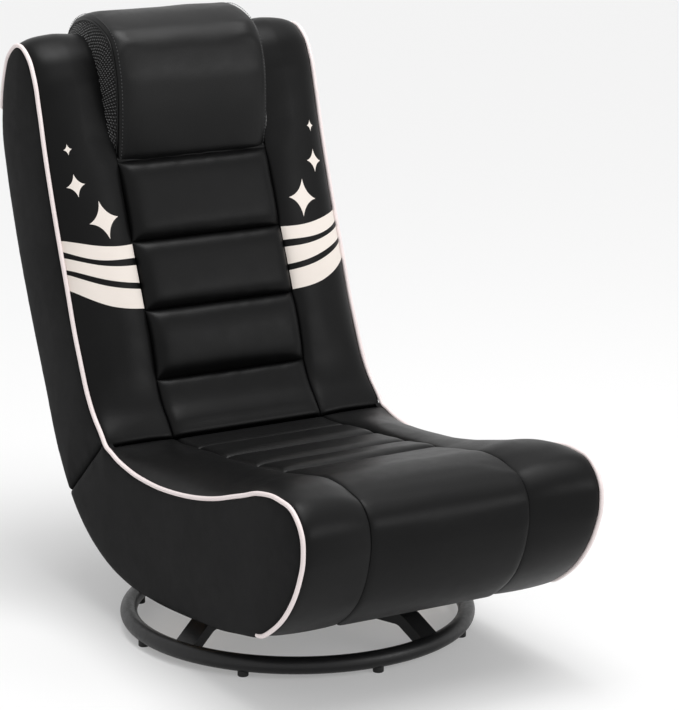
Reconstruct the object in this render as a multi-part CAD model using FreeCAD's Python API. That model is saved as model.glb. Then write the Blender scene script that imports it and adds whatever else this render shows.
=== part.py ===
import FreeCAD
import Part
import math
import os

os.makedirs("parts", exist_ok=True)
V = FreeCAD.Vector

# Floor chair that swivels on a ring base and folds at the crease between seat and back.
# Millimetres. Z is up from the floor, the swivel axis is at X 0 and Y 0, the sitter faces -Y,
# so left is +X. All side lines below are (Y, Z).

# Widths across the chair, as distances from the middle plane
PIPING_X = 225.0
PIPING_R = 3.5
SIDE_OUT_X = PIPING_X + 1.0
SIDE_T = 10.0
CHANNEL_X = 120.0
SEAM_GAP = 0.3

# Upholstery and frame thicknesses
PAD_T = 30.0
PAD_OVER = 3.0
SUPPORT_T = 6.0
COVER_T = 3.0
BOARD_T = 15.0
RAIL_T = 18.0
SEAT_PUFF = 6.0
ROLL_PUFF = 1.5
EDGE_RISE = 1.5
EDGE_DROP = 7.0
EDGE_SLOPE = 0.5
BACK_PUFF = 13.0
FOLD_PUFF = 0.55
LOFT_STEP = 30.0

# Fold line and hinge
CREASE = (150.0, 255.0)
FOLD_REAR = (266.0, 153.0)
AXIS_DEPTH = 4.0
FOLD_DEG = 98.0
FOLD_GAP = 0.3
BEND_HALF = 12.0
RELIEF_H = 16.0
LEAF_T = 3.0
LEAF_LEN = 92.0
LEAF_TILT_DEG = 22.0
EYE_R = 6.0
LEAF_R = 10.0
PIN_R = 3.0
RUN_CLEAR = 0.05
SCREW_R = 2.0
SCREW_LEN = 11.0

# Piping line of the seat from the crease to the end under the front roll:
# Y, Z, height of the long seam over the line, height of the bolster crown over the line
SEAT_LINE = [
    (150.0, 255.0, -6.0, -6.0),
    (122.0, 243.0, 4.0, 8.0),
    (70.0, 233.0, 18.0, 22.0),
    (9.0, 231.0, 26.0, 28.0),
    (-80.0, 239.0, 26.0, 28.0),
    (-165.0, 256.0, 22.0, 23.0),
    (-248.0, 282.0, 12.0, 16.0),
    (-301.0, 299.0, 3.0, 12.0),
    (-345.0, 304.0, -6.0, 6.0),
    (-389.0, 295.0, -12.0, 0.0),
    (-408.0, 272.0, -13.0, -2.0),
    (-411.0, 245.0, -11.0, -2.0),
    (-399.0, 205.0, -5.0, 0.0),
    (-370.0, 160.0, 0.0, 1.0),
    (-312.0, 113.0, 0.0, 1.0),
]
SEAT_END_DIR = (0.86, -0.51)

# Piping line of the back from the crease over the top to its end on the rear
BACK_LINE = [
    (150.0, 255.0, -6.0, -6.0),
    (187.0, 292.0, 8.0, 13.0),
    (229.0, 370.0, 22.0, 25.0),
    (267.0, 470.0, 18.0, 24.0),
    (297.0, 551.0, 16.0, 23.0),
    (324.0, 633.0, 13.0, 21.0),
    (341.0, 695.0, 4.0, 16.0),
    (354.0, 735.0, -3.0, 11.0),
    (373.0, 764.0, -6.0, 7.0),
    (404.0, 778.0, -7.0, 6.0),
    (438.0, 762.0, -7.0, 6.0),
    (458.0, 726.0, -6.0, 5.0),
    (469.0, 676.0, -4.0, 3.0),
]
BACK_END_DIR = (0.12, -0.993)

# Bottom edge of the seat and rear edge of the back
SEAT_UNDER = [
    (-312.0, 113.0),
    (-218.0, 86.0),
    (-104.0, 71.0),
    (14.0, 63.0),
    (76.0, 64.0),
    (155.0, 80.0),
    (214.0, 108.0),
    (266.0, 153.0),
]
BACK_REAR = [
    (469.0, 676.0),
    (470.0, 640.0),
    (459.0, 589.0),
    (433.0, 505.0),
    (392.0, 401.0),
    (346.0, 299.0),
    (298.0, 198.0),
    (266.0, 153.0),
]
REAR_DIR = (0.643, 0.766)

# Cross seams, as lengths along the piping line from the crease
SEAT_SEAMS = [82.0, 169.0, 258.0, 335.0]
BACK_SEAMS = [80.0, 182.0, 282.0, 401.0]

# Headrest pillow: its side outline from the lower tip over the top to the rear tip
PILLOW_X = 115.0
GUSSET_T = 3.0
PILLOW_CROWN = 13.0
PILLOW_LINE = [
    (314.0, 624.0),
    (307.0, 655.0),
    (303.0, 700.0),
    (308.0, 745.0),
    (326.0, 781.0),
    (365.0, 801.0),
    (420.0, 803.0),
    (456.0, 785.0),
    (476.0, 742.0),
    (478.0, 700.0),
]

# Ring base
RING_R = 237.5
TUBE_R = 12.0
TUBE_WALL = 1.5
RING_Z = 18.5
BASE_TURN_DEG = 20.0
ARM_W = 32.0
ARM_H = 16.0
ARM_TOP_Z = 56.0
ARM_IN_R = 40.0
ARM_BEND_R = 195.0
ARM_BEND_ROUND = 22.0
FOOT_COUNT = 8
FOOT_R = 7.5
FOOT_STEM_R = 3.9
FOOT_HOLE_R = 4.0
FOOT_BARB_R = 4.6

# Swivel bearing
PLATE_HALF = 85.0
PLATE_ROUND = 15.0
PLATE_T = 3.0
RACE_R = 65.0
RACE_HALF = 9.0
RACE_H = 5.5
BALL_R = 4.75
BALL_CLEAR = 0.3
BALL_COUNT = 16
CAGE_HALF = 15.0
CAGE_T = 2.0
PIN_SHAFT_R = 6.0
PIN_HEAD_R = 11.0
PIN_HEAD_H = 4.0
WASHER_R = 12.0
WASHER_T = 2.0
NUT_AF = 19.0
NUT_H = 8.0
BOLT_XY = 68.0
BOLT_R = 3.0
BOLT_AF = 10.0
BOLT_HEAD_H = 4.0
TEE_R = 4.5
TEE_FLANGE_R = 9.0
TEE_FLANGE_T = 1.5

# Seat frame
DECK_T = 12.0
DECK_FRONT_Y = -140.0
DECK_REAR_Y = 125.0
FRONT_RAIL_Y = -244.0
COVER_HALF_GAP = 105.0
BACK_MID_RAIL_S = 235.0
BACK_TOP_RAIL_S = 430.0

# Heights that follow from the stack of the swivel
PLATE_TOP_Z = ARM_TOP_Z + PLATE_T
BALL_Z = PLATE_TOP_Z + RACE_H + BALL_R / 2.0
DECK_Z = 2.0 * BALL_Z - PLATE_TOP_Z + PLATE_T
SIDE_IN_X = SIDE_OUT_X - SIDE_T
SEAT_BOARD_X = SIDE_IN_X - BOARD_T
BACK_BOARD_X = SEAT_BOARD_X - LEAF_T - SEAM_GAP


# Routes: chains of tangent arcs in the side plane


def unit(p):
    n = math.hypot(p[0], p[1])
    return (p[0] / n, p[1] / n)


def cross(a, b):
    return a[0] * b[1] - a[1] * b[0]


def dot(a, b):
    return a[0] * b[0] + a[1] * b[1]


def arc_to(p, t, q):
    c = (q[0] - p[0], q[1] - p[1])
    side = cross(t, c)
    chord = math.hypot(c[0], c[1])
    turn = 2.0 * math.atan2(side, dot(t, c))
    heading = math.atan2(t[1], t[0])
    if abs(turn) < 1e-4:
        return (p, heading, 0.0, chord)
    k = 2.0 * side / chord ** 2
    return (p, heading, k, turn / k)


def at(seg, s):
    p, a, k, length = seg
    if k == 0.0:
        return (p[0] + s * math.cos(a), p[1] + s * math.sin(a)), a
    b = a + k * s
    y = p[0] + (math.sin(b) - math.sin(a)) / k
    z = p[1] - (math.cos(b) - math.cos(a)) / k
    return (y, z), b


class Route:
    def __init__(self, segs):
        self.segs = segs
        self.length = sum(g[3] for g in segs)

    def frame(self, s):
        """Point, direction and left-hand normal at a length along the route."""
        for g in self.segs:
            if s <= g[3] or g is self.segs[-1]:
                p, a = at(g, s)
                return p, (math.cos(a), math.sin(a)), (-math.sin(a), math.cos(a))
            s -= g[3]

    def shifted(self, d):
        """The route moved by d to its left."""
        segs = []
        for p, a, k, length in self.segs:
            q = (p[0] - d * math.sin(a), p[1] + d * math.cos(a))
            f = 1.0 - k * d
            segs.append((q, a, k / f, length * f))
        return Route(segs)

    def part(self, s0, s1):
        """The stretch of the route between two lengths."""
        segs = []
        begin = 0.0
        for g in self.segs:
            lo = max(s0, begin)
            hi = min(s1, begin + g[3])
            if hi - lo > 1e-6:
                p, a = at(g, lo - begin)
                segs.append((p, a, g[2], hi - lo))
            begin += g[3]
        return Route(segs)

    def longer(self, before, after):
        """The route with straight runs added at its ends."""
        p, t, n = self.frame(0.0)
        segs = list(self.segs)
        if before:
            start = (p[0] - before * t[0], p[1] - before * t[1])
            segs = [(start, math.atan2(t[1], t[0]), 0.0, before)] + segs
        if after:
            p, t, n = self.frame(self.length)
            segs = segs + [(p, math.atan2(t[1], t[0]), 0.0, after)]
        return Route(segs)

    def turned(self):
        """The same route run the other way."""
        segs = []
        for g in reversed(self.segs):
            p, a = at(g, g[3])
            segs.append((p, a + math.pi, -g[2], g[3]))
        return Route(segs)

    def edges(self, x=0.0):
        out = []
        for g in self.segs:
            a = at(g, 0.0)[0]
            b = at(g, g[3])[0]
            if g[2] == 0.0:
                out.append(Part.makeLine(V(x, a[0], a[1]), V(x, b[0], b[1])))
            else:
                m = at(g, g[3] / 2.0)[0]
                arc = Part.Arc(V(x, a[0], a[1]), V(x, m[0], m[1]), V(x, b[0], b[1]))
                out.append(arc.toShape())
        return out

    def ends(self):
        return self.frame(0.0)[0], self.frame(self.length)[0]


def route(points, first, last):
    """Tangent arcs through points, two arcs between each pair."""
    tangents = [unit(first)]
    for a, b, c in zip(points, points[1:], points[2:]):
        u = (b[0] - a[0], b[1] - a[1])
        w = (c[0] - b[0], c[1] - b[1])
        lu = dot(u, u)
        lw = dot(w, w)
        tangents.append(unit((u[0] / lu + w[0] / lw, u[1] / lu + w[1] / lw)))
    tangents.append(unit(last))
    segs = []
    for p, q, t, r in zip(points, points[1:], tangents, tangents[1:]):
        v = (q[0] - p[0], q[1] - p[1])
        w = (t[0] + r[0], t[1] + r[1])
        k = 2.0 * (1.0 - dot(t, r))
        vw = dot(v, w)
        if k < 1e-6:
            d = dot(v, v) / (2.0 * vw)
        else:
            d = (-vw + math.sqrt(vw ** 2 + k * dot(v, v))) / k
        m = tuple((p[i] + q[i] + d * (t[i] - r[i])) / 2.0 for i in (0, 1))
        segs.append(arc_to(p, t, m))
        end = at(segs[-1], segs[-1][3])[1]
        segs.append(arc_to(m, (math.cos(end), math.sin(end)), q))
    return Route(segs)


def bridge(a, b, x=0.0):
    """A straight edge between two side points, or nothing if they meet."""
    if math.hypot(a[0] - b[0], a[1] - b[1]) < 1e-4:
        return []
    return [Part.makeLine(V(x, a[0], a[1]), V(x, b[0], b[1]))]


def face_of(edges):
    return Part.Face(Part.Wire(Part.__sortEdges__(edges)))


def plate(face, x0, x1):
    """A side-plane face made solid between two distances from the middle plane."""
    f = face.copy()
    f.translate(V(x0, 0, 0))
    return f.extrude(V(x1 - x0, 0, 0))


def mirrored(shape):
    return shape.mirror(V(0, 0, 0), V(1, 0, 0))


def union(shapes):
    out = shapes[0].multiFuse(shapes[1:])
    return out.removeSplitter()


def save(name, shape):
    if shape.ShapeType == "Compound" and len(shape.Solids) == 1:
        shape = shape.Solids[0]
    shape.exportStep("parts/" + name + ".step")


def save_pair(name, left):
    save(name + "_left", left)
    save(name + "_right", mirrored(left))


# Side lines of the two halves

IN_DIR = unit((FOLD_REAR[0] - CREASE[0], FOLD_REAR[1] - CREASE[1]))
UP_DIR = (-IN_DIR[1], IN_DIR[0])
AXIS = (CREASE[0] + AXIS_DEPTH * IN_DIR[0], CREASE[1] + AXIS_DEPTH * IN_DIR[1])

seat_front = route([p[:2] for p in SEAT_LINE], (-UP_DIR[0], -UP_DIR[1]), SEAT_END_DIR)
back_front = route([p[:2] for p in BACK_LINE], UP_DIR, BACK_END_DIR)
seat_under = route(SEAT_UNDER, SEAT_END_DIR, REAR_DIR)
back_rear = route(BACK_REAR, BACK_END_DIR, (-REAR_DIR[0], -REAR_DIR[1]))
# Outward from the upholstery is to the right of the seat line and to the left of the back line
SEAT_OUT = -1.0
BACK_OUT = 1.0


def stations(line, run):
    """Length along the route of each named point on it."""
    out = [0.0]
    for i in range(1, len(line)):
        out.append(out[-1] + sum(g[3] for g in run.segs[2 * i - 2:2 * i]))
    return out


def level(table, column, s):
    """A height from the side-line table at a length along it."""
    lengths, line = table
    for a, b, p, q in zip(lengths, lengths[1:], line, line[1:]):
        if s <= b + 1e-6:
            f = (s - a) / (b - a)
            return p[column] + f * (q[column] - p[column])
    return line[-1][column]


seat_table = (stations(SEAT_LINE, seat_front), SEAT_LINE)
back_table = (stations(BACK_LINE, back_front), BACK_LINE)


def local(x, along, inward):
    """A point given from the hinge axis: along the back, and inward along the fold."""
    y = AXIS[0] + along * UP_DIR[0] + inward * IN_DIR[0]
    z = AXIS[1] + along * UP_DIR[1] + inward * IN_DIR[1]
    return V(x, y, z)


def local_prism(corners, x0, x1):
    pts = [local(x0, a, b) for a, b in corners]
    return Part.Face(Part.makePolygon(pts + [pts[0]])).extrude(V(x1 - x0, 0, 0))


def local_box(a0, a1, b0, b1, x0, x1):
    return local_prism([(a0, b0), (a1, b0), (a1, b1), (a0, b1)], x0, x1)


def side_of_fold(shape, up, gap):
    """Keeps the part of a shape that lies past the fold plane by the gap."""
    far = 900.0
    if up:
        return shape.cut(local_box(-far, gap, -far, far, -400, 400))
    return shape.cut(local_box(-gap, far, -far, far, -400, 400))


def relief(shape, up):
    """Takes off what would touch the other half at the end of the fold."""
    h = RELIEF_H
    w = h * math.tan(math.radians(FOLD_DEG / 2.0 + 1.0)) * (1.0 if up else -1.0)
    return shape.cut(local_prism([(0.0, 0.0), (0.0, -h), (w, -h)], -400, 400))


def half_face(up, front_in, rear_in):
    """Side outline of a half, drawn in from its front and its rear edge."""
    if up:
        a = back_front.longer(20, 0).shifted(-BACK_OUT * front_in)
        b = back_rear.longer(0, 20).shifted(BACK_OUT * -rear_in)
    else:
        a = seat_front.longer(20, 0).shifted(-SEAT_OUT * front_in)
        b = seat_under.longer(0, 20).shifted(-SEAT_OUT * rear_in)
    a0, a1 = a.ends()
    b0, b1 = b.ends()
    return face_of(a.edges() + bridge(a1, b0) + b.edges() + bridge(b1, a0))


def strip_face(run, outer, inner):
    """Side outline of a strip between two distances to the left of a route."""
    a = run.shifted(outer)
    b = run.shifted(inner)
    a0, a1 = a.ends()
    b0, b1 = b.ends()
    return face_of(a.edges() + bridge(a1, b1) + b.edges() + bridge(b0, a0))


def tube(run, x, r):
    p, t, n = run.frame(0.0)
    ring = Part.Wire(Part.makeCircle(r, V(x, p[0], p[1]), V(0, t[0], t[1])))
    return Part.Wire(run.edges(x)).makePipeShell([ring], True, True)


# Padded sections and their lofts


def place(run, out, s, x, h):
    p, t, n = run.frame(s)
    return V(x, p[0] + out * h * n[0], p[1] + out * h * n[1])


def arc3(a, m, b):
    return Part.Arc(a, m, b).toShape()


def bolster_section(run, out, table, s):
    x0 = CHANNEL_X + SEAM_GAP
    x1 = SIDE_IN_X
    a = place(run, out, s, x0, -PAD_T - PAD_OVER)
    b = place(run, out, s, x0, level(table, 2, s))
    m = place(run, out, s, x0 + 0.5 * (x1 - x0), level(table, 3, s))
    c = place(run, out, s, x1, min(EDGE_RISE, EDGE_SLOPE * s - EDGE_DROP))
    d = place(run, out, s, x1, -PAD_T - PAD_OVER)
    return Part.Wire([Part.makeLine(a, b), arc3(b, m, c), Part.makeLine(c, d), Part.makeLine(d, a)])


def panel_section(run, out, s, seam, rise):
    """Cross-section of the centre channel, flat in the middle and rounded at both long seams."""
    w = CHANNEL_X - SEAM_GAP
    r = 16.0
    a = place(run, out, s, -w, -PAD_T - PAD_OVER)
    b = place(run, out, s, -w, seam)
    bc = place(run, out, s, -w + 0.3 * r, seam + 0.7 * rise + 0.2)
    c = place(run, out, s, -w + r, seam + rise + 0.2)
    m = place(run, out, s, 0.0, seam + 1.15 * rise + 0.6)
    d = place(run, out, s, w - r, seam + rise + 0.2)
    de = place(run, out, s, w - 0.3 * r, seam + 0.7 * rise + 0.2)
    e = place(run, out, s, w, seam)
    f = place(run, out, s, w, -PAD_T - PAD_OVER)
    return Part.Wire([
        Part.makeLine(a, b), arc3(b, bc, c), arc3(c, m, d), arc3(d, de, e),
        Part.makeLine(e, f), Part.makeLine(f, a),
    ])


def loft_lengths(run, s0):
    """Evenly spaced lengths for loft sections, up to the end of the route."""
    n = math.ceil((run.length - s0) / LOFT_STEP)
    return [s0 + (run.length - s0) * i / n for i in range(n + 1)]


def bolster(run, out, table):
    wires = [bolster_section(run, out, table, s) for s in loft_lengths(run, 0.0)]
    return Part.makeLoft(wires, True, False)


def puffed(run, out, table, s0, s1, puff):
    """One stitched panel of the centre channel, puffed between its two cross seams."""
    wires = []
    for f, share in ((0.0, 0.0), (0.12, 0.6), (0.3, 0.92), (0.5, 1.0), (0.7, 0.92), (0.88, 0.6), (1.0, 0.0)):
        s = s0 + f * (s1 - s0)
        wires.append(panel_section(run, out, s, level(table, 2, s), share * puff))
    return Part.makeLoft(wires, True, False)


def plain(run, out, table, s0, puff):
    """The end of the centre channel, from the last cross seam to the end of the route."""
    wires = [panel_section(run, out, s0, level(table, 2, s0), 0.0)]
    for s in loft_lengths(run, s0 + 14.0):
        wires.append(panel_section(run, out, s, level(table, 2, s), puff))
    return Part.makeLoft(wires, True, False)


# Ring base


def box_plate(z0, z1, turn):
    b = Part.makeBox(2 * PLATE_HALF, 2 * PLATE_HALF, z1 - z0, V(-PLATE_HALF, -PLATE_HALF, z0))
    upright = [e for e in b.Edges if abs(e.BoundBox.ZLength - (z1 - z0)) < 1e-6 and e.BoundBox.XLength < 1e-6
               and e.BoundBox.YLength < 1e-6]
    b = b.makeFillet(PLATE_ROUND, upright)
    b.rotate(V(0, 0, 0), V(0, 0, 1), turn)
    return b


def around(shape, count, start):
    out = []
    for i in range(count):
        s = shape.copy()
        s.rotate(V(0, 0, 0), V(0, 0, 1), start + 360.0 * i / count)
        out.append(s)
    return out


def race(z0, z1):
    ring = Part.makeCylinder(RACE_R + RACE_HALF, z1 - z0, V(0, 0, z0))
    return ring.cut(Part.makeCylinder(RACE_R - RACE_HALF, z1 - z0, V(0, 0, z0)))


def torus(r, z):
    return Part.makeTorus(RING_R, r, V(0, 0, z))


def hexagon(af, h, x, y, z):
    r = af / math.sqrt(3.0)
    pts = [V(x + r * math.cos(math.radians(60 * i)), y + r * math.sin(math.radians(60 * i)), z) for i in range(6)]
    return Part.Face(Part.makePolygon(pts + [pts[0]])).extrude(V(0, 0, h))


FOOT_TURN = BASE_TURN_DEG + 22.5
foot_hole = Part.makeCylinder(FOOT_HOLE_R, RING_Z, V(RING_R, 0, 0))
ring = torus(TUBE_R, RING_Z).cut(torus(TUBE_R - TUBE_WALL, RING_Z))
ring = ring.cut(Part.makeCompound(around(foot_hole, FOOT_COUNT, FOOT_TURN)))
save("base_ring", ring)

ring_bottom = RING_Z - TUBE_R
wall_top = ring_bottom + TUBE_WALL
head = Part.makeCylinder(FOOT_R, ring_bottom + 2.0, V(RING_R, 0, 0))
foot_edges = [e for e in head.Edges if e.BoundBox.ZMax < 1e-6]
head = head.makeFillet(1.5, foot_edges).cut(torus(TUBE_R, RING_Z))
stem = Part.makeCylinder(FOOT_STEM_R, TUBE_WALL + 2.0, V(RING_R, 0, ring_bottom - 0.5))
barb = Part.makeCone(FOOT_BARB_R, FOOT_STEM_R - 1.0, 3.0, V(RING_R, 0, wall_top + 1.3))
foot = union([head, stem, barb])
save("base_feet", Part.makeCompound(around(foot, FOOT_COUNT, FOOT_TURN)))

arm_mid_z = ARM_TOP_Z - ARM_H / 2.0
drop = math.atan2(arm_mid_z - RING_Z, RING_R - ARM_BEND_R)
tangent = ARM_BEND_ROUND * math.tan(drop / 2.0)
slope_len = math.hypot(arm_mid_z - RING_Z, RING_R - ARM_BEND_R)
arm_run = Route([
    ((ARM_IN_R, arm_mid_z), 0.0, 0.0, ARM_BEND_R - tangent - ARM_IN_R),
    ((ARM_BEND_R - tangent, arm_mid_z), 0.0, -1.0 / ARM_BEND_ROUND, ARM_BEND_ROUND * drop),
    ((ARM_BEND_R + tangent * math.cos(drop), arm_mid_z - tangent * math.sin(drop)), -drop, 0.0,
     slope_len - tangent),
])
arm = plate(strip_face(arm_run, -ARM_H / 2.0, ARM_H / 2.0), -ARM_W / 2.0, ARM_W / 2.0)
hollow_h = ARM_H / 2.0 - TUBE_WALL
hollow_w = ARM_W / 2.0 - TUBE_WALL
arm = arm.cut(plate(strip_face(arm_run.longer(1, 1), -hollow_h, hollow_h), -hollow_w, hollow_w))
arm.rotate(V(0, 0, 0), V(0, 0, 1), -90.0)
arm = arm.cut(torus(TUBE_R, RING_Z))
for i, a in enumerate(around(arm, 4, BASE_TURN_DEG)):
    save("base_arm_%d" % (i + 1), a)

# Swivel bearing

groove = Part.makeTorus(RACE_R, BALL_R + BALL_CLEAR, V(0, 0, BALL_Z))
lower = union([box_plate(ARM_TOP_Z, PLATE_TOP_Z, BASE_TURN_DEG), race(PLATE_TOP_Z, PLATE_TOP_Z + RACE_H)])
lower = lower.cut(groove).cut(Part.makeCylinder(PIN_SHAFT_R, 20, V(0, 0, ARM_TOP_Z - 5)))
save("base_plate", lower)

deck_bottom = DECK_Z
upper_bottom = DECK_Z - PLATE_T
upper = union([box_plate(upper_bottom, DECK_Z, 0.0), race(upper_bottom - RACE_H, upper_bottom)])
upper = upper.cut(groove).cut(Part.makeCylinder(PIN_SHAFT_R + RUN_CLEAR, 20, V(0, 0, DECK_Z - 10)))
bolt_spots = [(sx * BOLT_XY, sy * BOLT_XY) for sx in (-1, 1) for sy in (-1, 1)]
bolt_len = DECK_T + PLATE_T + 4.0
bolts = []
tees = []
for x, y in bolt_spots:
    upper = upper.cut(Part.makeCylinder(BOLT_R, 20, V(x, y, DECK_Z - 10)))
    shank = Part.makeCylinder(BOLT_R, bolt_len, V(x, y, upper_bottom))
    bolts.append(union([hexagon(BOLT_AF, BOLT_HEAD_H, x, y, upper_bottom - BOLT_HEAD_H), shank]))
    barrel = Part.makeCylinder(TEE_R, DECK_T, V(x, y, DECK_Z))
    flange = Part.makeCylinder(TEE_FLANGE_R, TEE_FLANGE_T, V(x, y, DECK_Z + DECK_T))
    tees.append(union([barrel, flange]).cut(Part.makeCylinder(BOLT_R, 40, V(x, y, DECK_Z - 10))))
save("swivel_plate", upper)
save("swivel_bolts", Part.makeCompound(bolts))
save("swivel_tee_nuts", Part.makeCompound(tees))

cage = Part.makeCylinder(RACE_R + CAGE_HALF, CAGE_T, V(0, 0, BALL_Z - CAGE_T / 2.0))
cage = cage.cut(Part.makeCylinder(RACE_R - CAGE_HALF, CAGE_T, V(0, 0, BALL_Z - CAGE_T / 2.0)))
pocket = Part.makeCylinder(BALL_R + BALL_CLEAR, 10, V(RACE_R, 0, BALL_Z - 5))
save("bearing_cage", cage.cut(Part.makeCompound(around(pocket, BALL_COUNT, 0.0))))
ball = Part.makeSphere(BALL_R, V(RACE_R, 0, BALL_Z))
save("bearing_balls", Part.makeCompound(around(ball, BALL_COUNT, 0.0)))

washer_z = DECK_Z + SEAM_GAP
pin_top = washer_z + WASHER_T + NUT_H + 2.0
pin_head = Part.makeCylinder(PIN_HEAD_R, PIN_HEAD_H, V(0, 0, ARM_TOP_Z - PIN_HEAD_H))
pin = union([pin_head, Part.makeCylinder(PIN_SHAFT_R, pin_top - ARM_TOP_Z, V(0, 0, ARM_TOP_Z))])
save("king_pin", pin)
bore = Part.makeCylinder(PIN_SHAFT_R, 60, V(0, 0, ARM_TOP_Z))
save("king_washer", Part.makeCylinder(WASHER_R, WASHER_T, V(0, 0, washer_z)).cut(bore))
save("king_nut", hexagon(NUT_AF, NUT_H, 0, 0, washer_z + WASHER_T).cut(bore))

# Hinges between the two halves


def leaf(up, x0):
    """A strap from an eye on the fold axis to its fixing end beside the board."""
    tilt = math.radians(LEAF_TILT_DEG) * (1.0 if up else -1.0)
    far = (LEAF_LEN * math.sin(tilt), LEAF_LEN * math.cos(tilt))
    lean = math.asin((LEAF_R - EYE_R) / LEAF_LEN)
    axis_x = V(1, 0, 0)
    eye = Part.makeCylinder(EYE_R, LEAF_T, local(x0, 0, 0), axis_x)
    end = Part.makeCylinder(LEAF_R, LEAF_T, local(x0, far[0], far[1]), axis_x)
    corners = []
    for side in (1.0, -1.0):
        angle = math.atan2(far[1], far[0]) + side * (math.pi / 2.0 + lean)
        u = (math.cos(angle), math.sin(angle))
        corners.append([(EYE_R * u[0], EYE_R * u[1]), (far[0] + LEAF_R * u[0], far[1] + LEAF_R * u[1])])
    web = local_prism([corners[0][0], corners[0][1], corners[1][1], corners[1][0]], x0, x0 + LEAF_T)
    return union([eye, web, end]), far


def hinge_half(up, board_x):
    """The leaf against the inner face of a board, and its three screws."""
    x0 = board_x - LEAF_T
    strap, far = leaf(up, x0)
    r = PIN_R if up else PIN_R + RUN_CLEAR
    strap = strap.cut(Part.makeCylinder(r, LEAF_T, local(x0, 0, 0), V(1, 0, 0)))
    screws = []
    for share in (0.56, 0.78, 1.0):
        spot = local(x0, far[0] * share, far[1] * share)
        shank = Part.makeCylinder(SCREW_R, SCREW_LEN, spot, V(1, 0, 0))
        cap = Part.makeCylinder(2.0 * SCREW_R, 2.0, spot - V(2.0, 0, 0), V(1, 0, 0))
        strap = strap.cut(shank)
        screws.append(union([cap, shank]))
    return strap, Part.makeCompound(screws)


seat_leaf, seat_screws = hinge_half(False, SEAT_BOARD_X)
back_leaf, back_screws = hinge_half(True, BACK_BOARD_X)
pin_x0 = BACK_BOARD_X - LEAF_T
pin_x1 = SEAT_BOARD_X + SEAM_GAP
axis_x = V(1, 0, 0)
hinge_pin = union([
    Part.makeCylinder(PIN_R + 2.0, 2.0, local(pin_x0 - 2.0, 0, 0), axis_x),
    Part.makeCylinder(PIN_R, pin_x1 - pin_x0, local(pin_x0, 0, 0), axis_x),
    Part.makeCylinder(PIN_R + 2.0, 2.0, local(pin_x1, 0, 0), axis_x),
])
save_pair("seat_hinge_leaf", seat_leaf)
save_pair("back_hinge_leaf", back_leaf)
save("seat_hinge_screws", Part.makeCompound(seat_screws.Solids + mirrored(seat_screws).Solids))
save("back_hinge_screws", Part.makeCompound(back_screws.Solids + mirrored(back_screws).Solids))
save("hinge_pins", Part.makeCompound([hinge_pin, mirrored(hinge_pin)]))

# Room for the hinges in the parts round them
room_x0 = pin_x0 - 3.0
room_x1 = pin_x1 + 3.0
eye_room = Part.makeCylinder(EYE_R + 2.0, room_x1 - room_x0, local(room_x0, 0, 0), axis_x)
eye_room = union([eye_room, local_box(-EYE_R - 2.0, EYE_R + 2.0, 0.0, 34.0, room_x0, room_x1)])
strap_room = local_box(-48.0, 48.0, 2.0, LEAF_LEN + 16.0, room_x0, SEAT_BOARD_X)
strap_room = union([eye_room, strap_room])
eye_room = Part.makeCompound([eye_room, mirrored(eye_room)])
strap_room = Part.makeCompound([strap_room, mirrored(strap_room)])

# Padded front of both halves

PIPING_GROOVE_R = PIPING_R + SEAM_GAP
half_specs = (
    ("seat", False, seat_front, SEAT_OUT, seat_table, SEAT_SEAMS, SEAT_PUFF),
    ("back", True, back_front, BACK_OUT, back_table, BACK_SEAMS, BACK_PUFF),
)
for name, up, run, out, table, seams, puff in half_specs:
    side = bolster(run, out, table)
    within = plate(half_face(up, PAD_T, 0.0), -400, 400)
    side = relief(side_of_fold(side.cut(within), up, FOLD_GAP), up).cut(strap_room)
    save_pair(name + "_bolster", side)

    panels = [puffed(run, out, table, 0.0, seams[0], FOLD_PUFF * puff)]
    panels += [puffed(run, out, table, a, b, puff) for a, b in zip(seams, seams[1:])]
    if up:
        flat = strip_face(run.part(seams[-1], run.length), 0.0, -PAD_T - PAD_OVER)
        panels.append(plate(flat, -CHANNEL_X + SEAM_GAP, CHANNEL_X - SEAM_GAP))
    else:
        panels.append(plain(run, out, table, seams[-1], ROLL_PUFF))
    pad = union(panels).cut(within)
    pad = relief(side_of_fold(pad, up, FOLD_GAP), up)
    save(name + "_centre_pad", pad)

    panel = plate(half_face(up, 0.0, 0.0), SIDE_IN_X, SIDE_OUT_X)
    panel = relief(side_of_fold(panel, up, FOLD_GAP), up)
    panel = panel.cut(tube(run.longer(15, SEAM_GAP), PIPING_X, PIPING_GROOVE_R))
    save_pair(name + "_side_panel", panel)

    save_pair(name + "_piping", tube(run.part(BEND_HALF, run.length), PIPING_X, PIPING_R))

bend_run = back_front.part(0.0, BEND_HALF - SEAM_GAP).turned().segs + seat_front.part(0.0, BEND_HALF).segs
save_pair("piping_bend", tube(Route(bend_run), PIPING_X, PIPING_R))

# Covers round the frame


def cross_box(y0, y1):
    return Part.makeBox(900, y1 - y0, 900, V(-450, y0, -100))


inner_w = (-SIDE_IN_X, SIDE_IN_X)
under_cover = plate(strip_face(seat_under.longer(0, 20), 0.0, COVER_T), *inner_w)
under_cover = side_of_fold(under_cover, False, FOLD_GAP)
save("seat_front_cover", under_cover.common(cross_box(-900, -COVER_HALF_GAP)))
save("seat_rear_cover", under_cover.common(cross_box(COVER_HALF_GAP, 900)))
rear_cover = plate(strip_face(back_rear.longer(0, 20), 0.0, -COVER_T), *inner_w)
save("back_rear_cover", side_of_fold(rear_cover, True, FOLD_GAP))

END_IN = FOLD_GAP + COVER_T
for name, up in (("seat", False), ("back", True)):
    body = side_of_fold(plate(half_face(up, PAD_T, COVER_T), *inner_w), up, FOLD_GAP)
    if up:
        body = body.cut(local_box(END_IN, 900, -900, 900, -400, 400))
    else:
        body = body.cut(local_box(-900, -END_IN, -900, 900, -400, 400))
    save(name + "_end_cover", body.cut(eye_room))

# Frame of the seat

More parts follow.
